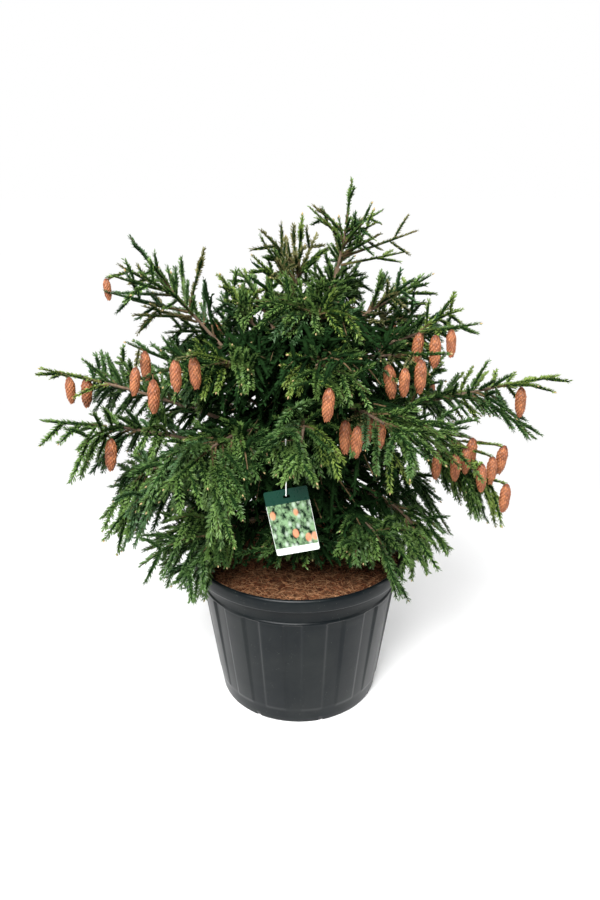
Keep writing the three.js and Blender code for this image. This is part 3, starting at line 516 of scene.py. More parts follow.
class Mass:
    """The sprays of one limb, which keep to the space that is nearest to that limb."""

    def __init__(self, row: Row, limb: Limb, index: int) -> None:
        """Work out where the mass begins and what it aims at.

        Args:
            row: the limb's sizes.
            limb: its bow.
            index: its place in the list, which also gives its seed.
        """
        self.row, self.limb, self.index = row, limb, index
        self.random = Seeded(11 + 7 * index)
        self.start = 0.0 if row.top else row.wood
        self.leafy = max(self.start, 0.0 if row.top else RULE.leafy_from)
        reach = float(norm(limb.at(self.leafy) - limb.at(1.0)))
        self.stem_end = 1.0 - (1.0 - self.leafy) * min(0.6, RULE.end_spray * row.spray / reach)
        self.aimed = [self.aimed_spray(*aim) for aim in row.aimed]
        chains = [limb.chain(self.leafy, 1.0, 5, index)]
        for spray in self.aimed:
            chains.append(Stretches(spray.rib(0.3)[None], spray.rib(1.0)[None], np.zeros(1), np.full(1, index)))
        self.chain = Stretches.joined(chains)
        self.stem = limb.chain(self.start, self.stem_end, 6, index)
        self.sprays: list[Spray] = []
        self.fill: list[Spray] = []
        self.cones: list[Array] = []

    def aimed_spray(self, share: float, *target: float) -> Spray:
        """Aim a narrow spray at a tip.

        Args:
            share: the share of the limb that it leaves.
            *target: the tip.

        Returns:
            Spray: the spray.
        """
        root = self.limb.at(share)
        along = np.array(target, dtype=float) - root
        return Spray(root, unit(along), float(norm(along)), 0.0, look_of(root),
                     self.limb.radius(share), RULE.aimed_width)

    def end_spray(self) -> Spray:
        """Carry the stem on to the limb's tip.

        Returns:
            Spray: the spray that does so.
        """
        root = self.limb.at(self.stem_end)
        along = self.limb.at(1.0) - root
        return Spray(root, unit(along), float(norm(along)), 0.0, look_of(self.limb.at(1.0)),
                     self.limb.radius(self.stem_end), self.row.width)

    def spray_at(self, share: float, side: int, tries: int) -> Spray:
        """Draw the next spray to try.

        Args:
            share: the share of the limb that it leaves.
            side: the side, -1 or 1.
            tries: how many tries it has had.

        Returns:
            Spray: the spray.
        """
        row, station = self.row, Station(self.limb, share)
        draws = [2.0 * self.random() - 1.0 for _ in range(5)]
        roll = (RULE.upright_roll * draws[0] if station.upright
                else RULE.roll_middle + RULE.roll_range * draws[0])
        rest = (share - self.leafy) / (1.0 - self.leafy)
        full = row.spray * (1.0 - row.taper * rest) * (1.0 + RULE.length_range * draws[2])
        return station.spray(side, row.spread + RULE.angle_range * draws[1], roll,
                             full * (1.0 - RULE.try_shortens * tries),
                             row.hang * (1.0 + RULE.hang_range * draws[3]),
                             RULE.tilt_range * draws[4], row.width)


@dataclass(frozen=True)
class LabelPlace:
    """Where the label hangs, in mm."""

    tie_foot: Array
    tie_end: Array
    tie_top: Array
    slot_top: float

    WIRE = 1.1
    TWIG = 1.6
    DROP = 112.0
    WIDTH = 84.0
    HEIGHT = 136.0
    SLOT_DROP = 12.0
    TURN = 11.0

    @classmethod
    def on(cls, mass: Mass) -> "LabelPlace":
        """Hang the label on a twig of a mass.

        Args:
            mass: the mass.

        Returns:
            LabelPlace: the place.
        """
        foot = mass.limb.at(min(0.8, mass.stem_end * 0.97))
        end = foot + np.array((-38.0, 0.0, -6.0))
        top = foot + (end - foot) * 0.78
        bottom = top[2] + cls.TWIG + GAP + cls.WIRE - cls.DROP
        return cls(foot, end, top, float(bottom + cls.WIRE + GAP))

    def clear(self, points: Array, margin: float) -> Array:
        """Say for points whether they keep clear of the label.

        Args:
            points: the points.
            margin: how far, in mm.

        Returns:
            Array: true where they do.
        """
        top = self.tie_top[2] + 12.0
        bottom = self.slot_top + self.SLOT_DROP - self.HEIGHT - margin
        middle = self.tie_top[0] + (top - points[:, 2]) * tan(radians(self.TURN)) * 0.7
        return ((points[:, 1] > self.tie_top[1] + margin)
                | (np.abs(points[:, 0] - middle) > self.WIDTH / 2.0 + margin)
                | (points[:, 2] > top) | (points[:, 2] < bottom))


@dataclass(frozen=True)
class Room:
    """How much room a spray has to keep, in mm."""

    space: float
    limb: float
    spray: float


MAIN_ROOM = Room(RULE.space_margin, RULE.limb_margin, RULE.spray_margin)
FILL_ROOM = Room(-26.0, -1.0, 0.0)


class Plant:
    """The whole skeleton: trunk, stems, masses with their sprays, and where the cones hang."""

    STEM_OWNER = -1
    CORE_OWNER = -2

    def __init__(self) -> None:
        """Grow everything."""
        self.trunk = Trunk(np.array((0.0, 0.0, SOIL_LEVEL + GAP)), np.array((8.0, 6.0, 700.0)),
                           np.array((80.0, 10.0, 990.0)), 25.0, 5.0)
        self.left_stem = limb_of(LEFT_STEM, self.trunk)
        carriers = {"trunk": self.trunk, "left_stem": self.left_stem}
        self.masses = [Mass(row, limb_of(row, carriers[row.carrier]), i) for i, row in enumerate(ROWS)]
        self.chains = Stretches.joined([mass.chain for mass in self.masses])
        wood = [limb.chain(0.0, 1.0, 12, self.STEM_OWNER) for limb in carriers.values()]
        wood += [mass.limb.chain(0.0, mass.start, 6, self.STEM_OWNER)
                 for mass in self.masses if mass.start > 0.0]
        self.wood = Stretches.joined(wood + [mass.stem for mass in self.masses])
        label_mass = next(mass for mass in self.masses if mass.row.name == "front_middle")
        self.label = LabelPlace.on(label_mass)
        for mass in self.masses:
            self.grow(mass)
        self.cones = self.hang_cones()
        filler = SprayFiller(self)
        for mass in self.masses:
            filler.fill(mass)
        self.inner = filler.core_sprays()

    def fits(self, spray: Spray, owner: int, room: Room) -> bool:
        """Say whether a spray keeps clear of pot, label, other masses' space and wood.

        Args:
            spray: the spray.
            owner: the number of its mass.
            room: how much room it has to keep.

        Returns:
            bool: whether it does.
        """
        starts, ends = spray.stretches()
        shares = np.array((0.0, 0.25, 0.5, 0.75, 1.0))[:, None, None]
        points = (starts + (ends - starts) * shares).reshape(-1, 3)
        over = points[:, 2] > POT_HEIGHT + RULE.rim_margin
        if not np.all(over | (np.hypot(points[:, 0], points[:, 1]) > RIM_RADIUS + RULE.rim_margin)):
            return False
        if not np.all(self.label.clear(points, RULE.label_margin)):
            return False
        if owner != self.CORE_OWNER:
            distance = self.chains.distance_of_points(points)
            own = self.chains.owner == owner
            if not np.all(distance[:, ~own].min(1) > distance[:, own].min(1) + room.space):
                return False
        wood = self.wood.of(self.wood.owner != owner)
        return bool(np.all(wood.distance_of_lines(starts, ends) > wood.radius + room.limb))

    def grow(self, mass: Mass) -> None:
        """Place the main sprays of a mass, the same as on its solid.

        Args:
            mass: the mass.
        """
        placed = [mass.end_spray()] + [s for s in mass.aimed if self.fits(s, mass.index, MAIN_ROOM)]
        for i in range(mass.row.sprays):
            share = lerp(mass.leafy, mass.stem_end, (i + 0.35) / mass.row.sprays)
            for tries in range(RULE.tries):
                spray = mass.spray_at(share, 1 if i % 2 == 0 else -1, tries)
                if spray.length <= RULE.shortest or not self.apart(spray, placed, MAIN_ROOM.spray):
                    continue
                if self.fits(spray, mass.index, MAIN_ROOM):
                    placed.append(spray)
                    break
        mass.sprays = placed

    @staticmethod
    def apart(spray: Spray, placed: list[Spray], margin: float) -> bool:
        """Say whether a spray's shoots and outer rib stay clear of others'.

        Args:
            spray: the spray.
            placed: the others.
            margin: how far, in mm.

        Returns:
            bool: whether they do.
        """
        starts, ends = spray.stretches()
        others = [other.stretches() for other in placed]
        count = sum(len(each[0]) - 1 for each in others)
        lines = Stretches(np.concatenate([each[0][1:] for each in others]),
                          np.concatenate([each[1][1:] for each in others]), np.zeros(count), np.zeros(count))
        return bool(np.all(lines.distance_of_lines(starts[1:], ends[1:]) > margin))

    def hang_cones(self) -> list[tuple[Array, Array, Array]]:
        """Hand the cones out to the masses, and hang them.

        Returns:
            list[tuple[Array, Array, Array]]: hold, top and axis of every cone.
        """
        for place in CONE_TOPS:
            top = np.array(place, dtype=float)
            middle = top - UP * (RULE.cone_length / 2.0)
            nearest = self.chains.distance_of_points(middle[None])[0].argmin()
            self.masses[int(self.chains.owner[nearest])].cones.append(top)
        random = Seeded(77)
        hung = []
        for mass in self.masses:
            for place in mass.cones:
                hold = self.nearest_hold(mass, place)
                lean = radians(RULE.cone_lean) * random()
                turn = tau * random()
                axis = np.array((sin(lean) * cos(turn), sin(lean) * sin(turn), -cos(lean)))
                top = place.copy()
                top[2] = min(place[2], hold[2] - RULE.cone_drop)
                hung.append((hold, top, axis))
        return hung

    @staticmethod
    def nearest_hold(mass: Mass, place: Array) -> Array:
        """Find the point on the stem or on a rib that a cone hangs from.

        Args:
            mass: the mass.
            place: the cone's top.

        Returns:
            Array: the point.
        """
        holds = [mass.limb.at(lerp(mass.leafy, mass.stem_end, part)) for part in (0.2, 0.4, 0.6, 0.8, 0.96)]
        holds += [spray.rib(share) for spray in mass.sprays for share in RULE.cone_holds]
        cost = [norm(hold - place) + 2.0 * max(0.0, place[2] + RULE.cone_drop - hold[2])
                for hold in holds]
        return holds[int(np.argmin(cost))]


@dataclass
class SprayFiller:
    """Thickens the crown with shorter sprays between the main ones."""

    plant: Plant
    fill_count: int = 8
    front_count: int = 13
    fill_tries: int = 9
    core_count: int = 148
    core_lengths: Triple = (115.0, 290.0, 215.0)
    core_heights: Triple = (428.0, 800.0, 930.0)
    parts: Pair = (0.55, 0.95)
    rolls: Pair = (-85.0, 100.0)
    spreads: Pair = (-14.0, 16.0)
    tilts: Pair = (-0.6, 0.6)
    hangs: Pair = (0.7, 1.3)

    def fill(self, mass: Mass) -> None:
        """Add the shorter sprays of one mass.

        Args:
            mass: the mass, with its main sprays placed.
        """
        random = Seeded(5000 + mass.index)
        row, limb = mass.row, mass.limb
        inner = mass.leafy if row.top else 0.14
        count = self.front_count if row.name.startswith("front") else self.fill_count
        for i in range(count):
            for tries in range(self.fill_tries):
                share = lerp(inner, mass.stem_end, ((i + random()) / count) ** 0.8)
                side = 1 if random() < 0.5 else -1
                part = random.between(*self.parts) * (1.0 - 0.05 * tries)
                inside = min(1.0, 3.0 * max(0.0, mass.leafy - share))
                roll, spread = random.between(*self.rolls), row.spread + random.between(*self.spreads)
                tilt, hang = random.between(*self.tilts), row.hang * random.between(*self.hangs)
                spray = Station(limb, share).spray(side, spread, roll, row.spray * part * (1.0 - 0.5 * inside),
                                                   hang, tilt, row.width)
                if self.plant.fits(spray, mass.index, FILL_ROOM):
                    mass.fill.append(spray)
                    break

    def core_sprays(self) -> list[Spray]:
        """Set short sprays round the trunk and the left stem, which take the inner tint of painted shade.

        Returns:
            list[Spray]: those that fit.
        """
        random = Seeded(900)
        plant = self.plant
        kept = []
        for i in range(self.core_count):
            stem = plant.trunk if i % 2 == 0 else plant.left_stem
            low, waist, high = self.core_heights
            height = lerp(low, high, i / self.core_count)
            share = stem.share_at_height(height)
            longest = self.core_lengths[1 if height < waist else 2]
            for _ in range(6):
                turn = random.between(0.0, tau)
                way = unit(np.array((cos(turn), sin(turn), random.between(-0.25, 0.3))))
                spray = Spray(stem.at(share), way, random.between(self.core_lengths[0], longest), 0.35,
                              UP + way * 0.4 + unit(np.cross(way, UP)) * random.between(-0.5, 0.5),
                              stem.radius(share), 1.0)
                if plant.fits(spray, plant.CORE_OWNER, Room(0.0, -12.0, 0.0)):
                    kept.append(spray)
                    break
        return kept


# Helpers for node trees and meshes


@dataclass
class Nodes:
    """Makes nodes and their links in one tree."""

    tree: NodeTree

    def add(self, kind: str, inputs: dict | None = None, **properties: object) -> Node:
        """Make a node.

        Args:
            kind: the node's type.
            inputs: what feed takes.
            **properties: attributes of the node, such as its operation.

        Returns:
            Node: the new node.
        """
        node = self.tree.nodes.new(kind)
        for name, value in properties.items():
            setattr(node, name, value)
        self.feed(node, inputs or {})
        return node

    def feed(self, node: Node, inputs: dict) -> None:
        """Feed a node.

        Args:
            node: the node.
            inputs: by each input's number or name, a socket to link or a value to set.
        """
        for key, value in inputs.items():
            if isinstance(value, NodeSocket):
                self.tree.links.new(value, node.inputs[key])
            else:
                node.inputs[key].default_value = value

    def out(self, kind: str, inputs: dict | None = None, **properties: object) -> NodeSocket:
        """Make a node and return its first output."""
        return self.add(kind, inputs, **properties).outputs[0]

    def math(self, operation: str, *values: Feed) -> NodeSocket:
        """Return the result of a Math node."""
        return self.out("ShaderNodeMath", dict(enumerate(values)), operation=operation)

    def vector(self, operation: str, *values: Feed) -> NodeSocket:
        """Return the vector result of a Vector Math node."""
        return self.out("ShaderNodeVectorMath", dict(enumerate(values)), operation=operation)

    def ranged(self, value: Feed, low: Feed, high: Feed, to_low: Feed, to_high: Feed) -> NodeSocket:
        """Return a value mapped from one range to another."""
        return self.out("ShaderNodeMapRange", {0: value, 1: low, 2: high, 3: to_low, 4: to_high})

    def mixed(self, factor: Feed, first: Feed, second: Feed, blend: str = "MIX") -> NodeSocket:
        """Return two colours mixed by a factor."""
        return self.add("ShaderNodeMix", {0: factor, 6: first, 7: second}, data_type="RGBA",
                        blend_type=blend).outputs[2]

    def grey(self, value: Feed) -> NodeSocket:
        """Return a value as a colour."""
        return self.out("ShaderNodeCombineColor", {0: value, 1: value, 2: value})

    def shaded(self, colour: Feed, shade: Feed) -> NodeSocket:
        """Return a colour times a shade."""
        return self.mixed(1.0, colour, self.grey(shade), "MULTIPLY")

    def random(self, low: float, high: float, seed: Feed) -> NodeSocket:
        """Return a random number for each element of a geometry tree."""
        return self.add("FunctionNodeRandomValue", {2: low, 3: high, 8: seed}, data_type="FLOAT").outputs[1]

    def named(self, name: str, kind: str = "FLOAT_VECTOR") -> NodeSocket:
        """Return an attribute of a geometry tree's elements."""
        return self.out("GeometryNodeInputNamedAttribute", {0: name}, data_type=kind)

    def turned(self, first: Feed, second: Feed, angle: Feed) -> NodeSocket:
        """Return the direction at an angle from the first towards the second."""
        parts = ((first, "COSINE"), (second, "SINE"))
        return self.vector("ADD", *(self.out("ShaderNodeVectorMath", {0: way, 3: self.math(part, angle)},
                                             operation="SCALE") for way, part in parts))

    def facing(self, ahead: Feed, above: Feed) -> NodeSocket:
        """Return the rotation that points Z ahead and Y above."""
        first = self.out("FunctionNodeAlignRotationToVector", {2: ahead}, axis="Z")
        return self.out("FunctionNodeAlignRotationToVector", {0: first, 2: above}, axis="Y", pivot_axis="Z")

    def copies(self, points: Feed, shape: Feed, rotation: Feed, scale: Feed) -> NodeSocket:
        """Return a copy of an object's shape on every point."""
        source = self.add("GeometryNodeObjectInfo", {0: shape}, transform_space="ORIGINAL").outputs[4]
        return self.out("GeometryNodeInstanceOnPoints", {0: points, 2: source, 5: rotation, 6: scale})


def started(kind: str, name: str, inputs: tuple, outputs: tuple) -> tuple[Nodes, list, Node]:
    """Start a node tree.

    Args:
        kind: the kind of tree.
        name: its name.
        inputs: name and type of each input, and its default value where one is set.
        outputs: name and type of each output.

    Returns:
        tuple: the node maker, the inputs in order, and the output node.
    """
    tree = bpy.data.node_groups.new(name, kind)
    for side, sockets in (("INPUT", inputs), ("OUTPUT", outputs)):
        for label, form, *default in sockets:
            socket = tree.interface.new_socket(label, in_out=side, socket_type=f"NodeSocket{form}")
            if default:
                socket.default_value = default[0]
    nodes = Nodes(tree)
    given = nodes.add("NodeGroupInput").outputs[:len(inputs)]
    return nodes, given, nodes.add("NodeGroupOutput")


def geometry_tree(name: str, *inputs: tuple[str, str]) -> tuple[Nodes, list, Node]:
    """Start a geometry tree, whose first input is its geometry and whose last is its material."""
    geometry = ("Geometry", "Geometry")
    return started("GeometryNodeTree", name, (geometry, *inputs, ("Material", "Material")), (geometry,))


def ended(nodes: Nodes, geometry: NodeSocket, material: NodeSocket, output: Node) -> NodeTree:
    """End a geometry tree in Realize Instances and Set Material.

    Args:
        nodes: the tree's node maker.
        geometry: what the tree has made.
        material: the tree's input for it.
        output: the tree's output node.

    Returns:
        NodeTree: the finished tree.
    """
    real = nodes.out("GeometryNodeRealizeInstances", {0: geometry})
    nodes.feed(output, {0: nodes.out("GeometryNodeSetMaterial", {0: real, 2: material})})
    return nodes.tree


def linked(name: str, mesh: Mesh) -> Object:
    """Return a new object of a mesh in the scene.

    Args:
        name: the object's name.
        mesh: its mesh.

    Returns:
        Object: the object, at the origin.
    """
    piece = bpy.data.objects.new(name, mesh)
    bpy.context.scene.collection.objects.link(piece)
    return piece


def grown(name: str, mesh: Mesh, tree: NodeTree, values: dict[str, object]) -> Object:
    """Run a geometry tree on a mesh and return the result as a plain object.

    Args:
        name: the new piece's name.
        mesh: the points or lines that the tree grows from.
        tree: the tree.
        values: a value for each named input.

    Returns:
        Object: the finished piece, with no modifier left on it.
    """
    source = linked(f"{name}_source", mesh)
    modifier = source.modifiers.new("grow", "NODES")
    modifier.node_group = tree
    sockets = {item.name: item.identifier for item in tree.interface.items_tree
               if item.item_type == "SOCKET" and item.in_out == "INPUT"}
    for label, value in values.items():
        modifier[sockets[label]] = value
    result = bpy.data.meshes.new_from_object(source.evaluated_get(bpy.context.evaluated_depsgraph_get()))
    source.modifiers.clear()
    bpy.data.objects.remove(source)
    result.name = name
    for label in ("thick", "needle_size", "facing", "upward", "size"):
        if label in result.attributes:
            result.attributes.remove(result.attributes[label])
    return linked(name, result)


def mesh_of(name: str, points: Array, faces: list | Array, smooth: bool = True) -> Mesh:
    """Return a mesh of points in mm and faces, with its normals outwards.

    Args:
        name: the mesh's name.
        points: its points, in mm.
        faces: point numbers of each face.
        smooth: whether its faces are shaded smooth.

    Returns:
        Mesh: the mesh, in metres.
    """
    mesh = bpy.data.meshes.new(name)
    mesh.from_pydata([tuple(point) for point in np.asarray(points) * MM], [], [tuple(face) for face in faces])
    work = bmesh.new()
    work.from_mesh(mesh)
    bmesh.ops.recalc_face_normals(work, faces=work.faces)
    work.to_mesh(mesh)
    work.free()
    mesh.polygons.foreach_set("use_smooth", [smooth] * len(mesh.polygons))
    mesh.update()
    return mesh


def ring_faces(rings: int, columns: int, closed: bool = False, first: int = 0) -> list[tuple[int, ...]]:
    """Return the faces of a tube of rings, with its two ends closed.

    Args:
        rings: the number of rings.
        columns: the points of each ring.
        closed: whether the last ring joins the first.
        first: the number of the first point.

    Returns:
        list[tuple[int, ...]]: quads, and a many-sided face at each open end.
    """
    faces = []
    for i in range(rings if closed else rings - 1):
        low, high = first + i * columns, first + ((i + 1) % rings) * columns
        for j in range(columns):
            k = (j + 1) % columns
            faces.append((low + j, low + k, high + k, high + j))
    if not closed:
        faces.append(tuple(first + j for j in reversed(range(columns))))
        faces.append(tuple(first + (rings - 1) * columns + j for j in range(columns)))
    return faces


def lines_mesh(name: str, lines: list[Array], attributes: dict[str, list[Array]]) -> Mesh:
    """Return a mesh of bare lines with a number at each point.

    Args:
        name: the mesh's name.
        lines: the points of each line, in mm.
        attributes: for each attribute, its values along each line.

    Returns:
        Mesh: points and edges only, in metres.
    """
    points = np.concatenate(lines) * MM
    last = np.cumsum([len(line) for line in lines]) - 1
    starts = np.setdiff1d(np.arange(len(points)), last)
    mesh = bpy.data.meshes.new(name)
    mesh.from_pydata([tuple(point) for point in points], [(int(i), int(i) + 1) for i in starts], [])
    for label, values in attributes.items():
        layer = mesh.attributes.new(label, "FLOAT", "POINT")
        layer.data.foreach_set("value", np.concatenate(values).astype(np.float32))
    return mesh


def points_mesh(name: str, places: Array, facing: Array, upward: Array, size: Array) -> Mesh:
    """Return loose points for copies of a small shape.

    Args:
        name: the mesh's name.
        places: the points, in mm.
        facing: the way that the Z axis of each copy looks.
        upward: the way that its Y axis looks.
        size: its scale along each axis.

    Returns:
        Mesh: points only, in metres.
    """
    mesh = bpy.data.meshes.new(name)
    mesh.from_pydata([tuple(point) for point in np.asarray(places) * MM], [], [])
    for label, values in (("facing", facing), ("upward", upward), ("size", size)):
        layer = mesh.attributes.new(label, "FLOAT_VECTOR", "POINT")
        layer.data.foreach_set("vector", np.asarray(values, dtype=np.float32).ravel())
    return mesh


def needle_tree() -> NodeTree:
    """Build the tree that clothes shoots in needles.

    Returns:
        NodeTree: the tree.
    """
    nodes, given, output = geometry_tree("needle_shoots", ("Spacing", "Float"), ("Needle Length", "Float"),
                                         ("Needle Width", "Float"), ("Seed", "Int"), ("Needle", "Object"))
    shoots, spacing, length, width, seed, shape, material = given
    curve = nodes.out("GeometryNodeMeshToCurve", {0: shoots})
    fine = nodes.out("GeometryNodeResampleCurve", {0: curve, 3: spacing}, mode="LENGTH")
    tangent = nodes.out("GeometryNodeInputTangent")
    factor = nodes.out("GeometryNodeSplineParameter")
    size = nodes.named("needle_size", "FLOAT")
    side = nodes.vector("NORMALIZE", nodes.vector("CROSS_PRODUCT", tangent, (0.2, 0.1, 0.97)))
    top = nodes.vector("CROSS_PRODUCT", side, tangent)
    # On a steep shoot the needles stand all round it, on a level one not below it
    steep = nodes.math("ABSOLUTE", nodes.add("ShaderNodeVectorMath", {0: tangent, 1: (0, 0, 1)},
                                             operation="DOT_PRODUCT").outputs[1])
    drawn = nodes.random(-1.0, 1.0, seed)
    reach = nodes.math("MULTIPLY", nodes.ranged(steep, 0.5, 0.95, radians(132), pi), drawn)
    radial = nodes.turned(side, top, nodes.math("ADD", pi / 2, reach))
    # They lean forward most on the shoot's upper side and at its tip
    forward = nodes.ranged(nodes.math("ABSOLUTE", drawn), 0.0, 0.45, 0.55, 1.0)
    angle = nodes.math("MULTIPLY", forward, nodes.ranged(factor, 0.4, 1.0, radians(52), radians(34)))
    lean = nodes.math("ADD", angle, nodes.random(-0.17, 0.17, nodes.math("ADD", seed, 1)))
    way = nodes.vector("ADD", nodes.turned(tangent, radial, lean), (0.0, 0.0, 0.1))
    profile = nodes.math("MINIMUM", nodes.ranged(factor, 0.0, 0.12, 0.6, 1.0),
                         nodes.ranged(factor, 0.85, 1.0, 1.0, 0.9))
    full = nodes.math("MULTIPLY", nodes.math("MULTIPLY", length, profile),
                      nodes.math("MULTIPLY", size, nodes.random(0.78, 1.12, nodes.math("ADD", seed, 2))))
    broad = nodes.math("MULTIPLY", width, nodes.random(0.8, 1.15, nodes.math("ADD", seed, 3)))
    broad = nodes.math("MULTIPLY", broad, nodes.ranged(size, 0.5, 1.0, 0.8, 1.0))
    scale = nodes.out("ShaderNodeCombineXYZ", {0: broad, 1: broad, 2: full})
    spin = nodes.out("ShaderNodeCombineXYZ", {2: nodes.random(-0.8, 0.8, nodes.math("ADD", seed, 4))})
    roll = nodes.out("FunctionNodeEulerToRotation", {0: spin})
    rotation = nodes.out("FunctionNodeRotateRotation", {0: nodes.facing(way, top), 1: roll},
                         rotation_space="LOCAL")
    return ended(nodes, nodes.copies(fine, shape, rotation, scale), material, output)


def twig_tree() -> NodeTree:
    """Build the tree that skins lines as round twigs.

    Returns:
        NodeTree: the tree.
    """
    nodes, (lines, sides, material), output = geometry_tree("twig_skin", ("Sides", "Int"))
    curve = nodes.out("GeometryNodeMeshToCurve", {0: lines})
    circle = nodes.out("GeometryNodeCurvePrimitiveCircle", {0: sides, 4: 1.0})
    thick = nodes.named("thick", "FLOAT")
    skin = nodes.out("GeometryNodeCurveToMesh", {0: curve, 1: circle, 2: thick, 3: True})
    smooth = nodes.out("GeometryNodeSetShadeSmooth", {0: skin, 2: True})
    return ended(nodes, smooth, material, output)


def copies_tree() -> NodeTree:
    """Build the tree that puts a copy of a small shape on every point.

    Returns:
        NodeTree: the tree.
    """
    nodes, (points, shape, material), output = geometry_tree("placed_copies", ("Shape", "Object"))
    cloud = nodes.out("GeometryNodeMeshToPoints", {0: points})
    rotation = nodes.facing(nodes.named("facing"), nodes.named("upward"))
    return ended(nodes, nodes.copies(cloud, shape, rotation, nodes.named("size")), material, output)


def mottle_group() -> NodeTree:
    """Build the group that mottles two colours and a roughness in soft patches.

    Returns:
        NodeTree: the group.
    """
    nodes, given, output = started("ShaderNodeTree", "mottle", (
        ("Vector", "Vector"), ("First", "Color", GREY), ("Second", "Color", GREY), ("Scale", "Float", 20.0),
        ("Softness", "Float", 0.3), ("Rough Low", "Float", 0.5), ("Rough High", "Float", 0.7)),
        (("Color", "Color"), ("Roughness", "Float")))
    vector, first, second, scale, softness, rough_low, rough_high = given
    fine = nodes.out("ShaderNodeTexNoise", {0: vector, 2: scale, 3: 5.0, 4: 0.6})
    low, high = (nodes.math(way, 0.5, softness) for way in ("SUBTRACT", "ADD"))
    mask = nodes.ranged(fine, low, high, 0.0, 1.0)
    nodes.feed(output, {0: nodes.mixed(mask, first, second),
                        1: nodes.ranged(mask, 0.0, 1.0, rough_low, rough_high)})
    return nodes.tree


def dust_group() -> NodeTree:
    """Build the group that lays pale dust and a few specks on a colour.

    Returns:
        NodeTree: the group.
    """
    nodes, given, output = started("ShaderNodeTree", "dust", (
        ("Vector", "Vector"), ("Color", "Color", GREY), ("Roughness", "Float", 0.5),
        ("Dust Color", "Color", GREY), ("Amount", "Float", 0.3), ("Scale", "Float", 8.0),
        ("Specks", "Float", 0.02)), (("Color", "Color"), ("Roughness", "Float")))
    vector, colour, rough, dust, amount, scale, specks = given
    clouds = nodes.out("ShaderNodeTexNoise", {0: vector, 2: scale, 3: 8.0, 4: 0.68, 8: 0.4})
    veil = nodes.math("MULTIPLY", nodes.ranged(clouds, 0.38, 0.72, 0.0, 1.0), amount)
    cells = nodes.out("ShaderNodeTexVoronoi", {0: vector, 2: 260.0})
    chosen = nodes.out("ShaderNodeTexNoise", {0: vector, 2: 60.0, 3: 1.0})
    small = nodes.math("LESS_THAN", cells, nodes.math("MULTIPLY", specks, 10.0))
    speck = nodes.math("MULTIPLY", small, nodes.math("GREATER_THAN", chosen, 0.62))
    cover = nodes.math("MAXIMUM", veil, nodes.math("MULTIPLY", speck, 0.8))
    nodes.feed(output, {0: nodes.mixed(cover, colour, dust),
                        1: nodes.math("ADD", rough, nodes.math("MULTIPLY", cover, 0.35))})
    return nodes.tree


def relief_group() -> NodeTree:
    """Build the group of a grain's height, longer along Z where it is stretched.

    Returns:
        NodeTree: the group.
    """
    nodes, (place, scale, stretch, share), output = started("ShaderNodeTree", "grain_height", (
        ("Vector", "Vector"), ("Scale", "Float", 100.0), ("Stretch", "Float", 1.0), ("Cells", "Float", 0.5)),
        (("Height", "Float"),))
    longer = nodes.out("ShaderNodeCombineXYZ", {0: 1.0, 1: 1.0, 2: stretch})
    vector = nodes.vector("MULTIPLY", place, longer)
    grain = nodes.out("ShaderNodeTexNoise", {0: vector, 2: scale, 3: 6.0, 4: 0.6})
    cells = nodes.out("ShaderNodeTexVoronoi", {0: vector, 2: scale})
    nodes.feed(output, {0: nodes.out("ShaderNodeMix", {0: share, 2: grain, 3: cells})})
    return nodes.tree


class Kit:
    """The geometry trees and the shader groups, each built once."""

    def __init__(self) -> None:
        """Build them."""
        self.needles, self.twigs, self.copies = needle_tree(), twig_tree(), copies_tree()
        self.mottle, self.dust, self.relief = mottle_group(), dust_group(), relief_group()


# Finishes


def rgba(colour: Colour) -> tuple[float, float, float, float]:
    """Return a colour with full alpha."""
    return (*colour, 1.0)


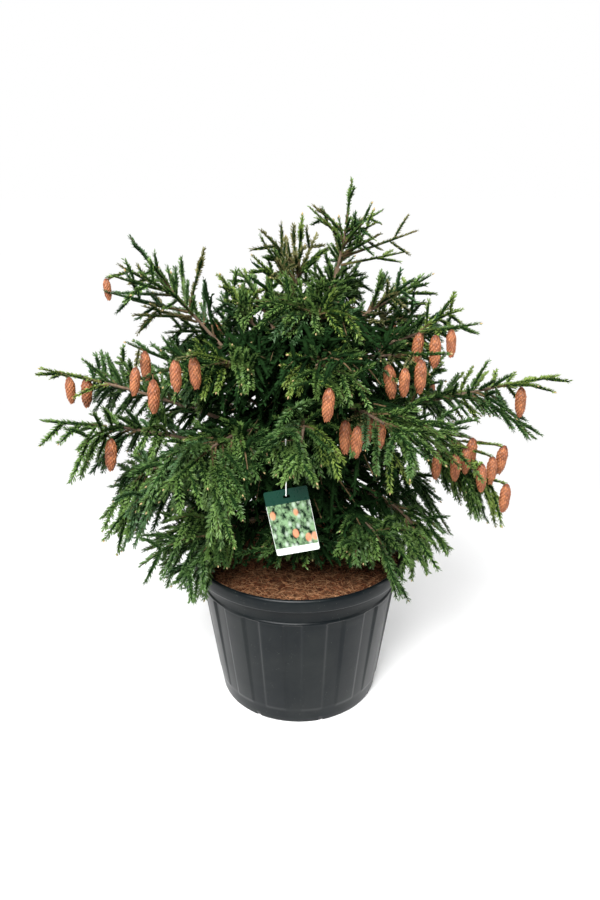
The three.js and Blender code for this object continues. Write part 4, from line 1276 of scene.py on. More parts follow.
class Surface:
    """A material while it is put together: its Principled shader and its groups."""

    def __init__(self, name: str, kit: Kit, specular: float, on_uv: bool) -> None:
        """Start a material.

        Args:
            name: its name.
            kit: the trees and groups.
            specular: the specular level.
            on_uv: whether its patterns lie on a UV map, not on Object coordinates.
        """
        self.material = bpy.data.materials.new(name)
        self.material.use_nodes = True
        self.kit, self.nodes = kit, Nodes(self.material.node_tree)
        self.shader = next(node for node in self.nodes.tree.nodes if node.type == "BSDF_PRINCIPLED")
        self.shader.inputs[13].default_value = specular
        self.place = self.nodes.add("ShaderNodeTexCoord").outputs[2 if on_uv else 3]

    def group(self, tree: NodeTree, **values: Feed) -> list[NodeSocket]:
        """Place a shared group.

        Args:
            tree: the group.
            **values: what feeds each input, by its name with _ for a space.

        Returns:
            list[NodeSocket]: the group's outputs.
        """
        node = self.nodes.add("ShaderNodeGroup", node_tree=tree)
        self.nodes.feed(node, {label.replace("_", " "): value for label, value in values.items()})
        return node.outputs[:]

    def mottled(self, first: Colour, second: Colour, scale: float, rough: Pair, softness: float = 0.3
                ) -> list[NodeSocket]:
        """Return colour and roughness of a mottle between two colours."""
        return self.group(self.kit.mottle, Vector=self.place, First=rgba(first), Second=rgba(second),
                          Scale=scale, Softness=softness, Rough_Low=rough[0], Rough_High=rough[1])

    def feed(self, colour: NodeSocket, roughness: NodeSocket) -> None:
        """Feed the shader's colour and roughness."""
        self.nodes.feed(self.shader, {0: colour, 2: roughness})

    def dusty(self, under: list[NodeSocket], dust: Colour, amount: float, scale: float, specks: float) -> None:
        """Feed the shader with dust over the colour and roughness of a mottle."""
        self.feed(*self.group(self.kit.dust, Vector=self.place, Color=under[0], Roughness=under[1],
                              Dust_Color=rgba(dust), Amount=amount, Scale=scale, Specks=specks))

    def grained(self, scale: float, cells: float, strength: float, depth: float, stretch: float = 1.0
                ) -> NodeSocket:
        """Feed the shader's normal with a grain.

        Args:
            scale: the grain's scale.
            cells: the share of cells in it.
            strength: the bump's strength.
            depth: the bump's depth, in metres.
            stretch: how the scale differs along Z.

        Returns:
            NodeSocket: the grain's height.
        """
        height = self.group(self.kit.relief, Vector=self.place, Scale=scale, Stretch=stretch, Cells=cells)[0]
        self.nodes.feed(self.shader, {5: self.nodes.out("ShaderNodeBump", {0: strength, 1: depth, 3: height})})
        return height


class Finish:
    """What the finishes share: each lays itself on a surface in its own way."""

    specular = 0.4
    on_uv = False

    def material(self, kit: Kit) -> Material:
        """Make the material.

        Args:
            kit: the trees and groups.

        Returns:
            Material: the material.
        """
        surface = Surface(self.name, kit, self.specular, self.on_uv)
        self.lay(surface)
        return surface.material


@dataclass(frozen=True)
class NeedleFinish(Finish):
    """Waxy needles of one tint."""

    name: str
    dark: Colour
    light: Colour
    rough: Pair = (0.42, 0.6)
    specular: float = 0.32

    def lay(self, surface: Surface) -> None:
        """Lay two near greens in soft patches, with a fine lengthwise grain."""
        surface.feed(*surface.mottled(self.dark, self.light, 38.0, self.rough, 0.22))
        surface.grained(900.0, 0.2, 0.25, 0.0004)


class Tint(Enum):
    """The needles' tints, dealt out by spray; the inner one is painted shade."""

    DEEP = NeedleFinish("needles_deep", (0.02, 0.05, 0.011), (0.076, 0.15, 0.036))
    BLUE = NeedleFinish("needles_blue", (0.022, 0.056, 0.02), (0.07, 0.145, 0.052))
    MID = NeedleFinish("needles_mid", (0.04, 0.088, 0.015), (0.12, 0.205, 0.048))
    FRESH = NeedleFinish("needles_fresh", (0.075, 0.135, 0.018), (0.19, 0.26, 0.05))
    STRAW = NeedleFinish("needles_straw", (0.075, 0.085, 0.024), (0.2, 0.185, 0.07))
    # Near-black needles with little gloss for the crown's middle: painted shade
    INNER = NeedleFinish("needles_inner", (0.004, 0.013, 0.003), (0.013, 0.04, 0.01), (0.7, 0.85), 0.04)


@dataclass(frozen=True)
class WoodFinish(Finish):
    """Scaly bark or the skin of young twigs."""

    name: str
    dark: Colour
    light: Colour
    scale: float
    grain: float
    depth: float
    stretch: float = 0.4
    specular: float = 0.3

    def lay(self, surface: Surface) -> None:
        """Lay a mottle that darkens in the grain's cracks as painted shade.

        Args:
            surface: the material so far.
        """
        colour, rough = surface.mottled(self.dark, self.light, self.scale, (0.75, 0.95), 0.2)
        # Painted shade: the colour darkens where the grain's height is low, in its cracks
        cracks = surface.nodes.ranged(surface.grained(self.grain, 0.6, 0.8, self.depth, self.stretch),
                                      0.1, 0.5, 0.45, 1.0)
        surface.feed(surface.nodes.shaded(colour, cracks), rough)


@dataclass(frozen=True)
class ConeFinish(Finish):
    """Young cones: papery scales, darker towards their edges as painted shade."""

    name: str = "cone_scales"
    dark: Colour = (0.19, 0.05, 0.02)
    light: Colour = (0.42, 0.16, 0.062)
    # Colour of the painted shade at the scales' edges
    edge: Colour = (0.07, 0.016, 0.006)

    def lay(self, surface: Surface) -> None:
        """Lay a mottle whose tone differs from scale to scale, with painted shade towards each scale's edges.

        Args:
            surface: the material so far.
        """
        nodes = surface.nodes
        colour, rough = surface.mottled(self.dark, self.light, 70.0, (0.45, 0.62), 0.25)
        island = nodes.add("ShaderNodeNewGeometry").outputs[8]
        toned = nodes.shaded(colour, nodes.ranged(island, 0.0, 1.0, 0.7, 1.25))
        # Painted shade: each scale darkens towards the edge colour at its rim, by its shade values
        painted_edge_shade = nodes.add("ShaderNodeAttribute", attribute_name="shade").outputs[2]
        surface.feed(nodes.mixed(nodes.ranged(painted_edge_shade, 0.1, 0.6, 0.75, 0.0), toned, rgba(self.edge)), rough)
        surface.grained(600.0, 0.1, 0.4, 0.0006, 0.25)


@dataclass(frozen=True)
class PotFinish(Finish):
    """Black moulded plastic with a fine grain under a veil of dust."""

    name: str = "pot_plastic"
    base: Colour = (0.0016, 0.0036, 0.0052)
    worn: Colour = (0.0036, 0.006, 0.0072)
    dust: Colour = (0.14, 0.15, 0.125)
    specular: float = 0.17

    def lay(self, surface: Surface) -> None:
        """Lay the plastic, its dust and its grain."""
        surface.dusty(surface.mottled(self.base, self.worn, 14.0, (0.26, 0.38), 0.25), self.dust, 0.05, 9.0,
                      0.012)
        surface.grained(420.0, 0.35, 0.12, 0.0006)


@dataclass(frozen=True)
class CompostFinish(Finish):
    """Coir and bark fibre."""

    name: str
    dark: Colour
    light: Colour
    dust: Colour = (0.42, 0.24, 0.12)
    specular: float = 0.2

    def lay(self, surface: Surface) -> None:
        """Lay the fibre, its pale crumbs and its grain."""
        surface.dusty(surface.mottled(self.dark, self.light, 110.0, (0.85, 1.0), 0.16), self.dust, 0.35, 55.0,
                      0.02)
        surface.grained(340.0, 0.5, 0.9, 0.003)


@dataclass(frozen=True)
class CardFinish(Finish):
    """A printed card: a green head, a mottled garden picture and a pale foot."""

    name: str = "label_print"
    head: Colour = (0.004, 0.032, 0.02)
    paper: Colour = (0.72, 0.76, 0.72)
    leaf_dark: Colour = (0.004, 0.014, 0.006)
    leaf_light: Colour = (0.2, 0.33, 0.17)
    haze: Colour = (0.5, 0.6, 0.5)
    blossom: Colour = (0.72, 0.24, 0.13)
    specular: float = 0.16
    on_uv: bool = True
    margin: float = 0.008
    foot_top: float = 0.11
    head_foot: float = 0.79

    def lay(self, surface: Surface) -> None:
        """Lay leaves, haze and blossom between the foot and the head.

        Args:
            surface: the material so far.
        """
        nodes = surface.nodes
        split = nodes.add("ShaderNodeSeparateXYZ", {0: surface.place})
        across, height = split.outputs[0], split.outputs[1]
        picture, rough = surface.mottled(self.leaf_dark, self.leaf_light, 9.0, (0.26, 0.36), 0.1)
        for scale, low, high, most, colour in ((7.0, 0.1, 0.42, 0.75, self.haze),
                                               (3.6, 0.17, 0.3, 0.9, self.blossom)):
            spots = nodes.out("ShaderNodeTexVoronoi", {0: surface.place, 2: scale})
            picture = nodes.mixed(nodes.ranged(spots, low, high, most, 0.0), picture, rgba(colour))
        off = nodes.math("ABSOLUTE", nodes.math("SUBTRACT", across, 0.5))
        inside = nodes.math("MULTIPLY", nodes.math("LESS_THAN", off, 0.5 - self.margin),
                            nodes.math("GREATER_THAN", height, self.foot_top))
        card = nodes.mixed(inside, rgba(self.paper), picture)
        surface.feed(nodes.mixed(nodes.math("GREATER_THAN", height, self.head_foot), card, rgba(self.head)),
                     rough)
        surface.grained(120.0, 0.2, 0.08, 0.0003)


@dataclass(frozen=True)
class PlainFinish(Finish):
    """A plain moulded or painted surface with a faint mottle and grain."""

    name: str
    first: Colour
    second: Colour
    rough: Pair = (0.35, 0.5)
    scale: float = 30.0

    def lay(self, surface: Surface) -> None:
        """Lay the mottle and the grain."""
        surface.feed(*surface.mottled(self.first, self.second, self.scale, self.rough))
        surface.grained(500.0, 0.2, 0.1, 0.0003)


@dataclass(frozen=True)
class PaperFinish(Finish):
    """White paper round the pot, which glows further out and so meets the backdrop without a line."""

    name: str = "studio_paper"
    first: Colour = (0.88, 0.88, 0.88)
    second: Colour = (0.92, 0.92, 0.92)
    glow_from: float = 0.2
    glow_to: float = 1.7
    specular: float = 0.1

    def lay(self, surface: Surface) -> None:
        """Lay the paper and its glow.

        Args:
            surface: the material so far.
        """
        nodes = surface.nodes
        colour, rough = surface.mottled(self.first, self.second, 0.6, (0.85, 0.95))
        distance = nodes.add("ShaderNodeVectorMath", {0: surface.place}, operation="LENGTH").outputs[1]
        glow = nodes.ranged(distance, self.glow_from, self.glow_to, 0.0, 1.0)
        surface.feed(nodes.mixed(glow, colour, (0.0, 0.0, 0.0, 1.0)), rough)
        nodes.feed(surface.shader, {"Emission Color": nodes.grey(glow), "Emission Strength": 1.0})


BARK = WoodFinish("spruce_bark", (0.058, 0.037, 0.023), (0.18, 0.122, 0.08), 60.0, 160.0, 0.003)
TWIG = WoodFinish("young_twigs", (0.05, 0.032, 0.014), (0.15, 0.095, 0.042), 90.0, 500.0, 0.0008)
# Near-black cores inside the shoots: painted shade between the needles
SHADED = NeedleFinish("needles_shaded", (0.002, 0.008, 0.002), (0.01, 0.03, 0.007), (0.8, 0.9), 0.04)
# The cones' cores: dark red-brown, painted shade in the gaps between the scales
CORE = WoodFinish("cone_cores", (0.1, 0.03, 0.012), (0.2, 0.06, 0.03), 120.0, 400.0, 0.0008)
BUD = PlainFinish("bud_scales", (0.26, 0.18, 0.075), (0.44, 0.34, 0.16), (0.5, 0.7), 120.0)
TIE = PlainFinish("tie_plastic", (0.75, 0.76, 0.74), (0.85, 0.86, 0.84))
GROUND = CompostFinish("compost_ground", (0.028, 0.007, 0.002), (0.11, 0.03, 0.01))
BARK_CHIPS = CompostFinish("compost_bark", (0.06, 0.014, 0.005), (0.2, 0.055, 0.02))
TAN_CHIPS = CompostFinish("compost_tan", (0.17, 0.066, 0.027), (0.34, 0.16, 0.076))
FIBRES = CompostFinish("compost_fibre", (0.2, 0.085, 0.038), (0.42, 0.23, 0.12))


# Sub-assemblies


def settle(piece: Object, slot: str, *nodes: str) -> None:
    """Ride a piece on the body, and hide the nodes that it stands for.

    Args:
        piece: the finished piece.
        slot: not used.
        *nodes: the nodes that it replaces.
    """
    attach(piece, BODY)
    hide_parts(*nodes)
    log.info("%s: %d faces", piece.name, len(piece.data.polygons))


@dataclass
class Assembly:
    kit: Kit

    def dressed(self, name: str, mesh: Mesh, finish: Finish, slot: str, *nodes: str) -> None:
        """Make a mesh a piece.

        Args:
            name: the piece's name.
            mesh: its mesh.
            finish: its finish.
            slot: the record's material slot.
            *nodes: the nodes that it replaces.
        """
        mesh.materials.clear()
        mesh.materials.append(finish.material(self.kit))
        settle(linked(name, mesh), slot, *nodes)

    def copied(self, name: str, shape: Mesh, points: Mesh, finish: Finish, slot: str, *nodes: str) -> None:
        """Make a piece that has a copy of a small shape on every point.

        Args:
            name: the piece's name.
            shape: the small shape.
            points: where the copies go, from points_mesh.
            finish: its finish.
            slot: the record's material slot.
            *nodes: the nodes that it replaces.
        """
        source = linked(shape.name, shape)
        piece = grown(name, points, self.kit.copies, {"Shape": source, "Material": finish.material(self.kit)})
        bpy.data.objects.remove(source)
        settle(piece, slot, *nodes)


@dataclass
class NurseryPot(Assembly):
    """The round black container with its raised panels and rim."""

    columns: int = 480
    panels: int = 15
    panel_turn: float = 8.6
    panel_width: float = 14.0
    panel_ramp: float = 1.5
    notches: int = 8
    notch_turn: float = 15.5
    notch_width: float = 12.0
    notch_height: float = 7.0
    foot_radius: float = 186.0
    profile: tuple = (
        (0.01, 0.0, 0), (120, 0.0, 0), (178, 0.0, 0), (182.5, 0.7, 0), (185.2, 2.6, 0), (186, 5.0, 0),
        (187.4, 15, 0), (189.4, 30, 0), (190, 34, 0), (190.7, 37.5, 0.3), (191.7, 42, 1.1), (192.2, 45, 1.25),
        (198.5, 95, 2.0), (204.8, 145, 2.7), (211, 195, 3.4), (217, 243, 4.1), (220.3, 268, 4.4),
        (221.3, 276.5, 4.5), (221.7, 279.3, 4.1), (223.4, 280.4, 2.6), (225.6, 281.8, 0.8), (226.2, 283.4, 0),
        (225.7, 285.0, 0), (223.9, 286.2, 0), (223.2, 288.4, 0), (224.8, 303, 0), (227.2, 322, 0),
        (227.9, 326.4, 0), (229.2, 327.0, 0), (246.6, 327.0, 0), (248.4, 327.7, 0), (249, 329.4, 0),
        (249.1, 338, 0), (249, 347, 0),
        (248.4, 350.6, 0), (246.9, 353.2, 0), (244.6, 354.8, 0), (242.4, 355, 0), (240.8, 354, 0),
        (240.1, 351.5, 0), (239.2, 347, 0), (236.2, 339.5, 0), (224.4, 321, 0), (215, 252, 0),
        (198, 128, 0), (181.4, 4.0, 0), (90, 4.0, 0), (0.01, 4.0, 0),
    )

    def raised(self, degrees: Array) -> Array:
        """Work out how much of a panel's relief stands at each angle.

        Args:
            degrees: the angles.

        Returns:
            Array: 0 to 1.
        """
        pitch = 360.0 / self.panels
        off = np.abs((degrees - self.panel_turn + pitch / 2.0) % pitch - pitch / 2.0)
        return smooth_step((self.panel_width / 2.0 + self.panel_ramp / 2.0 - off) / self.panel_ramp)

    def shell(self) -> Mesh:
        """Turn the shell, without its drain notches.

        Returns:
            Mesh: the shell.
        """
        degrees = np.arange(self.columns) * 360.0 / self.columns
        turn = np.radians(degrees)
        raised = self.raised(degrees)
        rings = []
        for radius, z, relief in self.profile:
            reach = radius + relief * raised
            rings.append(np.stack((reach * np.sin(turn), -reach * np.cos(turn), np.full_like(turn, z)), 1))
        return mesh_of("pot_shell", np.concatenate(rings), ring_faces(len(rings), self.columns))

    def cutter(self) -> Mesh:
        """Set the notch blocks, with arched tops, round the foot.

        Returns:
            Mesh: the blocks.
        """
        points, faces = [], []
        half, high = self.notch_width / 2.0, self.notch_height
        arch = [(-half, -6.0), (half, -6.0), (half, high - 3.0), (half - 1.2, high - 0.8), (half - 3.0, high),
                (3.0 - half, high), (1.2 - half, high - 0.8), (-half, high - 3.0)]
        for i in range(self.notches):
            turn = radians(self.notch_turn + 360.0 * i / self.notches)
            out = np.array((sin(turn), -cos(turn), 0.0))
            side = np.array((cos(turn), sin(turn), 0.0))
            first = len(points)
            for depth in (self.foot_radius - 9.0, self.foot_radius + 8.0):
                points += [out * depth + side * x + UP * z for x, z in arch]
            faces += ring_faces(2, len(arch), first=first)
        return mesh_of("notch_blocks", np.array(points), faces, smooth=False)

    def build(self) -> None:
        """Make the pot."""
        pot, cutter = linked("pot_shell", self.shell()), linked("notch_blocks", self.cutter())
        modifier = pot.modifiers.new("notches", "BOOLEAN")
        modifier.operation, modifier.object, modifier.solver = "DIFFERENCE", cutter, "EXACT"
        mesh = bpy.data.meshes.new_from_object(pot.evaluated_get(bpy.context.evaluated_depsgraph_get()))
        for scratch in (pot, cutter):
            bpy.data.objects.remove(scratch)
        self.dressed("nursery_pot", mesh, PotFinish(), "pot", "pot")


@dataclass
class Compost(Assembly):
    """The pot's filling, with loose chips and fibres on it."""

    top_radius: float = 232.6
    bottom_radius: float = 180.9
    bottom: float = 4.4
    shoulder: Pair = (223.6, 321.0)
    rings: int = 62
    columns: int = 220
    trunk_radius: float = 40.0
    chips: int = 2600
    fibres: int = 1500
    seed: int = 41

    def height(self, x: float, y: float) -> float:
        """Work out the surface's height at a place.

        Args:
            x: its x, in mm.
            y: its y, in mm.

        Returns:
            float: the height.
        """
        radius = hypot(x, y)
        edge = smooth_step((self.top_radius - radius) / 26.0)
        open_ground = smooth_step((radius - self.trunk_radius) / 40.0)
        lumps = noise.fractal(Vector((x * 0.018, y * 0.018, 3.0)), 1.0, 2.0, 3)
        crumbs = noise.fractal(Vector((x * 0.09, y * 0.09, 9.0)), 0.9, 2.1, 4)
        return SOIL_LEVEL + edge * (open_ground * 4.5 * lumps + 2.2 * crumbs) - (1.0 - edge) * 1.5

    def body(self) -> Mesh:
        """Turn the filling, with a lumpy top.

        Returns:
            Mesh: one closed mesh.
        """
        turn = np.arange(self.columns) * tau / self.columns
        lower = ((0.01, self.bottom), (self.bottom_radius, self.bottom), self.shoulder)
        points = [(radius * cos(t), radius * sin(t), z) for radius, z in lower for t in turn]
        for radius in np.linspace(self.top_radius, 0.05, self.rings):
            places = [(radius * cos(t), radius * sin(t)) for t in turn]
            points += [(x, y, self.height(x, y)) for x, y in places]
        return mesh_of("compost", np.array(points), ring_faces(len(lower) + self.rings, self.columns))

    def scraps(self, count: int, lengths: Pair, random: Seeded) -> Mesh:
        """Strew loose scraps.

        Args:
            count: how many to draw.
            lengths: the shortest and the longest, in mm.
            random: the row of numbers to draw from.

        Returns:
            Mesh: their points.
        """
        places, facing, upward, sizes = [], [], [], []
        for _ in range(count):
            radius = 12.0 + (self.top_radius - 20.0) * sqrt(random())
            turn, yaw = random.between(0.0, tau), random.between(0.0, tau)
            x, y = radius * cos(turn), radius * sin(turn)
            if radius < self.trunk_radius:
                continue
            lean = random.between(-0.35, 0.35)
            long = random.between(*lengths)
            places.append((x, y, self.height(x, y) + 0.6 + abs(lean) * long * 0.3))
            facing.append((random.between(-0.4, 0.4), random.between(-0.4, 0.4), 1.0))
            upward.append((cos(yaw), sin(yaw), lean))
            thick = random.between(0.6, 1.3)
            sizes.append((random.between(0.5, 1.3), long / 10.0, thick))
        return points_mesh("scraps", places, facing, upward, sizes)

    @staticmethod
    def chip(width: float, thick: float, bow: float) -> Mesh:
        """Shape one chip, 10 long along Y and bowed in its middle.

        Args:
            width: its width.
            thick: its thickness.
            bow: the height of its bow.

        Returns:
            Mesh: the chip.
        """
        stations = ((-5.0, 0.35, 0.0), (-1.8, 1.0, bow), (2.0, 0.8, bow * 0.9), (5.0, 0.25, 0.0))
        points = []
        for y, wide, rise in stations:
            half = width * wide / 2.0
            points += [(-half, y, rise), (half * 0.8, y + 0.3, rise - thick * 0.2), (0.1, y, rise + thick)]
        return mesh_of("chip", np.array(points), ring_faces(len(stations), 3), smooth=False)

    def build(self) -> None:
        """Make the filling, its chips and its fibres."""
        self.dressed("compost_ground", self.body(), GROUND, "soil", "soil")
        random = Seeded(self.seed)
        for name, finish, count, lengths, shape in (
                ("bark_chips", BARK_CHIPS, self.chips // 2, (5.0, 14.0), (4.2, 1.3, 0.5)),
                ("tan_chips", TAN_CHIPS, self.chips // 2, (5.0, 16.0), (3.2, 1.0, 0.4)),
                ("fibres", FIBRES, self.fibres, (14.0, 34.0), (0.9, 0.7, 1.1))):
            self.copied(f"compost_{name}", self.chip(*shape), self.scraps(count, lengths, random), finish,
                        "soil", "soil")


@dataclass
class Timber(Assembly):
    """Trunk, left stem, boughs and stems, with the bark's relief."""

    plant: Plant
    trunk_columns: int = 56
    trunk_rings: int = 190
    stem_columns: int = 28
    stem_rings: int = 110
    bough_columns: int = 16
    bough_rings: int = 34
    sunk: float = 8.0
    roots: int = 5
    bough_share: float = 0.58

    @staticmethod
    def frames(limb: Limb, shares: Array) -> tuple[Array, Array, Array]:
        """Turn a ring's frame along a limb as little as can be.

        Args:
            limb: the limb.
            shares: where the rings stand.

        Returns:
            tuple[Array, Array, Array]: centre, first and second direction of each ring.
        """
        centres = np.array([limb.at(share) for share in shares])
        axes = np.array([limb.along(share) for share in shares])
        first = unit(np.cross(axes[0], (0.3, 1.0, 0.2)))
        firsts, seconds = [], []
        for axis in axes:
            first = unit(first - axis * float(np.dot(first, axis)))
            firsts.append(first)
            seconds.append(np.cross(axis, first))
        return centres, np.array(firsts), np.array(seconds)

    def tube(self, limb: Limb, begin: float, finish: float, rings: int, columns: int, relief: float
             ) -> tuple[Array, list]:
        """Skin a part of a limb with bark.

        Args:
            limb: the limb.
            begin: the share where it starts.
            finish: the share where it ends.
            rings: how many rings it has.
            columns: the points of each ring.
            relief: the depth of the bark.

        Returns:
            tuple[Array, list]: points and faces.
        """
        shares = np.linspace(begin, finish, rings)
        centres, firsts, seconds = self.frames(limb, shares)
        turn = np.arange(columns) * tau / columns
        points = []
        for share, centre, first, second in zip(shares, centres, firsts, seconds):
            radius = limb.radius(share) * (self.bough_share if columns <= self.bough_columns else 1.0)
            for angle in turn:
                way = first * cos(angle) + second * sin(angle)
                place = centre + way * radius
                flakes = noise.fractal(Vector(place * (0.11, 0.11, 0.05)), 0.8, 2.2, 4)
                ridges = noise.noise(Vector(place * (0.05, 0.05, 0.018)))
                points.append(place + way * relief * (flakes + 0.6 * ridges))
        return np.array(points), ring_faces(rings, columns)

    def trunk(self) -> tuple[Array, list]:
        """Skin the trunk, with roots that spread into the soil.

        Returns:
            tuple[Array, list]: points and faces.
        """
        points, faces = self.tube(self.plant.trunk, 0.0, 1.0, self.trunk_rings, self.trunk_columns, 1.3)
        height = points[:, 2] - points[0, 2]
        turn = np.arctan2(points[:, 1], points[:, 0])
        lobes = 1.0 + 0.16 * np.cos(self.roots * turn + 0.6) * np.exp(-np.maximum(height, 0.0) / 26.0)
        points[:, :2] *= lobes[:, None]
        points[:self.trunk_columns, 2] -= self.sunk
        return points, faces

    def build(self) -> None:
        """Make the pieces of wood."""
        material = BARK.material(self.kit)
        plant = self.plant
        left = self.tube(plant.left_stem, 0.0, 1.0, self.stem_rings, self.stem_columns, 0.9)
        boughs, stems = [], []
        for mass in plant.masses:
            if mass.start > 0.0:
                boughs.append(self.tube(mass.limb, 0.0, mass.start + 0.01, self.bough_rings,
                                        self.bough_columns, 0.45))
            stems.append(self.tube(mass.limb, mass.start, mass.stem_end, self.bough_rings, 10, 0.3))
        for name, tubes, nodes in (("trunk_bark", [self.trunk()], ["trunk"]),
                                   ("left_stem_bark", [left], ["left_stem"]),
                                   ("bough_bark", boughs, BOUGH_NODES), ("stem_bark", stems, MASS_NODES)):
            points, faces, first = [], [], 0
            for tube_points, tube_faces in tubes:
                points.append(tube_points)
                faces += [tuple(first + i for i in face) for face in tube_faces]
                first += len(tube_points)
            mesh = mesh_of(name, np.concatenate(points), faces)
            mesh.materials.append(material)
            settle(linked(name, mesh), "bark", *nodes)


@dataclass(frozen=True)
class HabitSizes:
    """How the side shoots of a spray stand: spacing in mm, lengths as shares of the spray's length."""

    pair_spacing: float
    lengths: Triple
    needle: float
    sag: float
    straggle: float
    least_pairs: int


class Habit(Enum):
    """The ways in which shoots stand, from the stiff top down to the weeping skirt."""

    POINTED = HabitSizes(105.0, (0.44, 0.44, 0.34), 0.66, 0.0, 0.1, 0)
    STIFF = HabitSizes(105.0, (0.44, 0.44, 0.34), 0.84, 0.0, 0.1, 0)
    SPREADING = HabitSizes(43.0, (0.48, 0.46, 0.38), 0.88, 0.15, 0.2, 1)
    WEEPING = HabitSizes(42.0, (0.52, 0.5, 0.44), 1.0, 0.6, 0.25, 1)

    @classmethod
    def of(cls, row: Row) -> "Habit":
        """Choose a limb's habit.

        Args:
            row: the limb's sizes.

        Returns:
            Habit: the habit.
        """
        if row.name == "leader":
            return cls.POINTED
        if row.name in ("left_crown", "outer_left", "right_top"):
            return cls.STIFF
        high = row.name.endswith(("_top", "_high", "_long"))
        return cls.SPREADING if high else cls.WEEPING


@dataclass
class Shoot:
    """One needled shoot: its line, the size of its needles, and its twig's radii where that shows."""

    line: Array
    size: float
    thick: Pair | None = None


@dataclass
class Foliage(Assembly):
    """Needle shoots, twigs and buds of the whole crown."""

    plant: Plant
    angle: float = 50.0
    droop: float = 0.1
    shortest: float = 44.0
    longest: float = 80.0
    lowest: float = 322.0
    spacing: float = 0.75
    inner_spacing: float = 4.8
    needle_length: float = 13.2
    needle_width: float = 2.85
    inner_width: float = 5.0
    core_radius: float = 3.9
    inner_core: float = 5.2
    deep_inside: float = 190.0
    inner_top: float = 880.0
    straw_share: float = 0.5
    needles_per_piece: int = 45000
    bud_share: float = 0.42
    soil_room: float = 48.0
    front_lift: Triple = (185.0, 295.0, 0.56)
    side_lift: Pair = (200.0, 0.62)
    bough_spacing: float = 21.0
    bough_begin: float = 0.22
    stem_begin: float = 680.0
    stem_rounds: int = 6
    leader_rounds: int = 5
    cone_room: Triple = (250.0, 24.0, 40.0)
    bare_stalk: float = 24.0
    # Above this height sprays get lighter tints: painted light on the crown's top
    painted_light_above: float = 820.0
    bough_angles: Pair = (36.0, 64.0)
    stem_lengths: Pair = (28.0, 56.0)
    leader_lengths: Pair = (24.0, 44.0)
    stiff_lengths: Pair = (34.0, 62.0)
    loose_lengths: Pair = (42.0, 76.0)
    shoots: dict = field(default_factory=dict)
    buds: list = field(default_factory=list)
    views: tuple = field(init=False)

    FRESH_MASSES = {"front_high": 0.4, "front_middle": 0.45, "right_weeping": 0.4, "right_long": 0.3,
                    "front_right_high": 0.2, "front_right_middle": 0.2, "leader": 0.25, "left_long": 0.15}

    def deep(self, place: Array) -> bool:
        """Say whether a place lies in the middle of the crown, whose needles get painted shade."""
        return place[2] < self.inner_top and hypot(*place[:2]) < self.deep_inside

    def tint(self, mass: Mass, spray: Spray, main: bool, random: Seeded) -> Tint:
        """Deal out a tint by spray: painted shade in the crown's middle, lighter tints high up as painted
        light.

        Args:
            mass: the mass.
            spray: the spray.
            main: whether the solids have the spray too.
            random: the row of numbers to draw from.

        Returns:
            Tint: the tint.
        """
        chance = random()
        # Fill sprays in the crown's middle get the inner tint: painted shade
        if not main and self.deep(spray.root):
            return Tint.INNER
        stiff = Habit.of(mass.row) in (Habit.POINTED, Habit.STIFF)
        if stiff and chance < self.straw_share * (1.0 if main else 0.5):
            return Tint.STRAW
        if main and chance < self.FRESH_MASSES.get(mass.row.name, 0.06):
            return Tint.FRESH
        other = random()
        # Sprays high up get lighter tints and lower ones more deep ones: painted light on the crown's top
        if spray.root[2] > self.painted_light_above:
            return Tint.FRESH if other < 0.16 else Tint.MID if other < 0.78 else Tint.BLUE
        return Tint.MID if other < 0.42 else Tint.BLUE if other < 0.58 else Tint.DEEP

    def shoots_of(self, spray: Spray, random: Seeded, habit: Habit, main: bool = False) -> list[Shoot]:
        """Return the rib and the side shoots of a spray.

        Args:
            spray: the spray.
            random: the row of numbers to draw from.
            habit: the way in which its shoots stand.
            main: whether the solids have the spray too; others leave the cones bare.

        Returns:
            list[Shoot]: the rib first.
        """
        sizes = habit.value
        rib = np.array([spray.rib(share) for share in (0.05, 0.24, 0.43, 0.62, 0.81, 1.0)])
        if not main and self.hides_cone(rib, 0.6):
            return []
        rib = self.clear_of_soil(rib)
        thick = (min(3.4, 0.8 * spray.thick), 1.2)
        shoots = [] if len(rib) < 2 else [Shoot(rib, 0.95 * sizes.needle, thick)]
        pairs = max(sizes.least_pairs, round(spray.length * RULE.last_tooth_end / sizes.pair_spacing))
        for i in range(pairs):
            for side in (-1, 1):
                share = RULE.last_tooth_end * (i + 0.75 + random.between(-0.2, 0.2)) / pairs
                rest = i / max(1, pairs - 1)
                first, middle, last = sizes.lengths
                part = lerp(first, middle, rest * 2.0) if rest < 0.5 else lerp(middle, last, rest * 2.0 - 1.0)
                length = spray.width ** 0.5 * spray.length * part * random.between(0.82, 1.14)
                length = min(self.longest, max(self.shortest * sizes.needle, length))
                angle = radians(self.angle + random.between(-8.0, 8.0))
                way = (spray.along * cos(angle) + spray.across * (side * sin(angle))
                       + spray.face * random.between(-sizes.straggle, sizes.straggle))
                way = unit(unit(way) - UP * sizes.sag * random.between(0.6, 1.2))
                line = self.bowed(spray.rib(share), way, length, self.droop + 0.5 * spray.hang, spray.along)
                if self.over_soil(line).any() or self.hides_cone(line):
                    continue
                shoots.append(Shoot(line, sizes.needle * random.between(0.92, 1.06)))
        return shoots

    def over_soil(self, points: Array) -> Array:
        """Say for points whether they lie where the photo shows the pot's mouth bare.

        Args:
            points: the points.

        Returns:
            Array: true where they do.
        """
        half, height, rise = self.front_lift
        x, y, z = points.T
        inside = np.hypot(x, y) < RIM_RADIUS + 14.0
        ahead = (np.abs(x) < half) & (y < 0.0) & (z < height - rise * y)
        low = z < np.maximum(self.lowest, self.side_lift[0] - self.side_lift[1] * y)
        return (inside & (z < POT_HEIGHT + self.soil_room)) | ahead | low

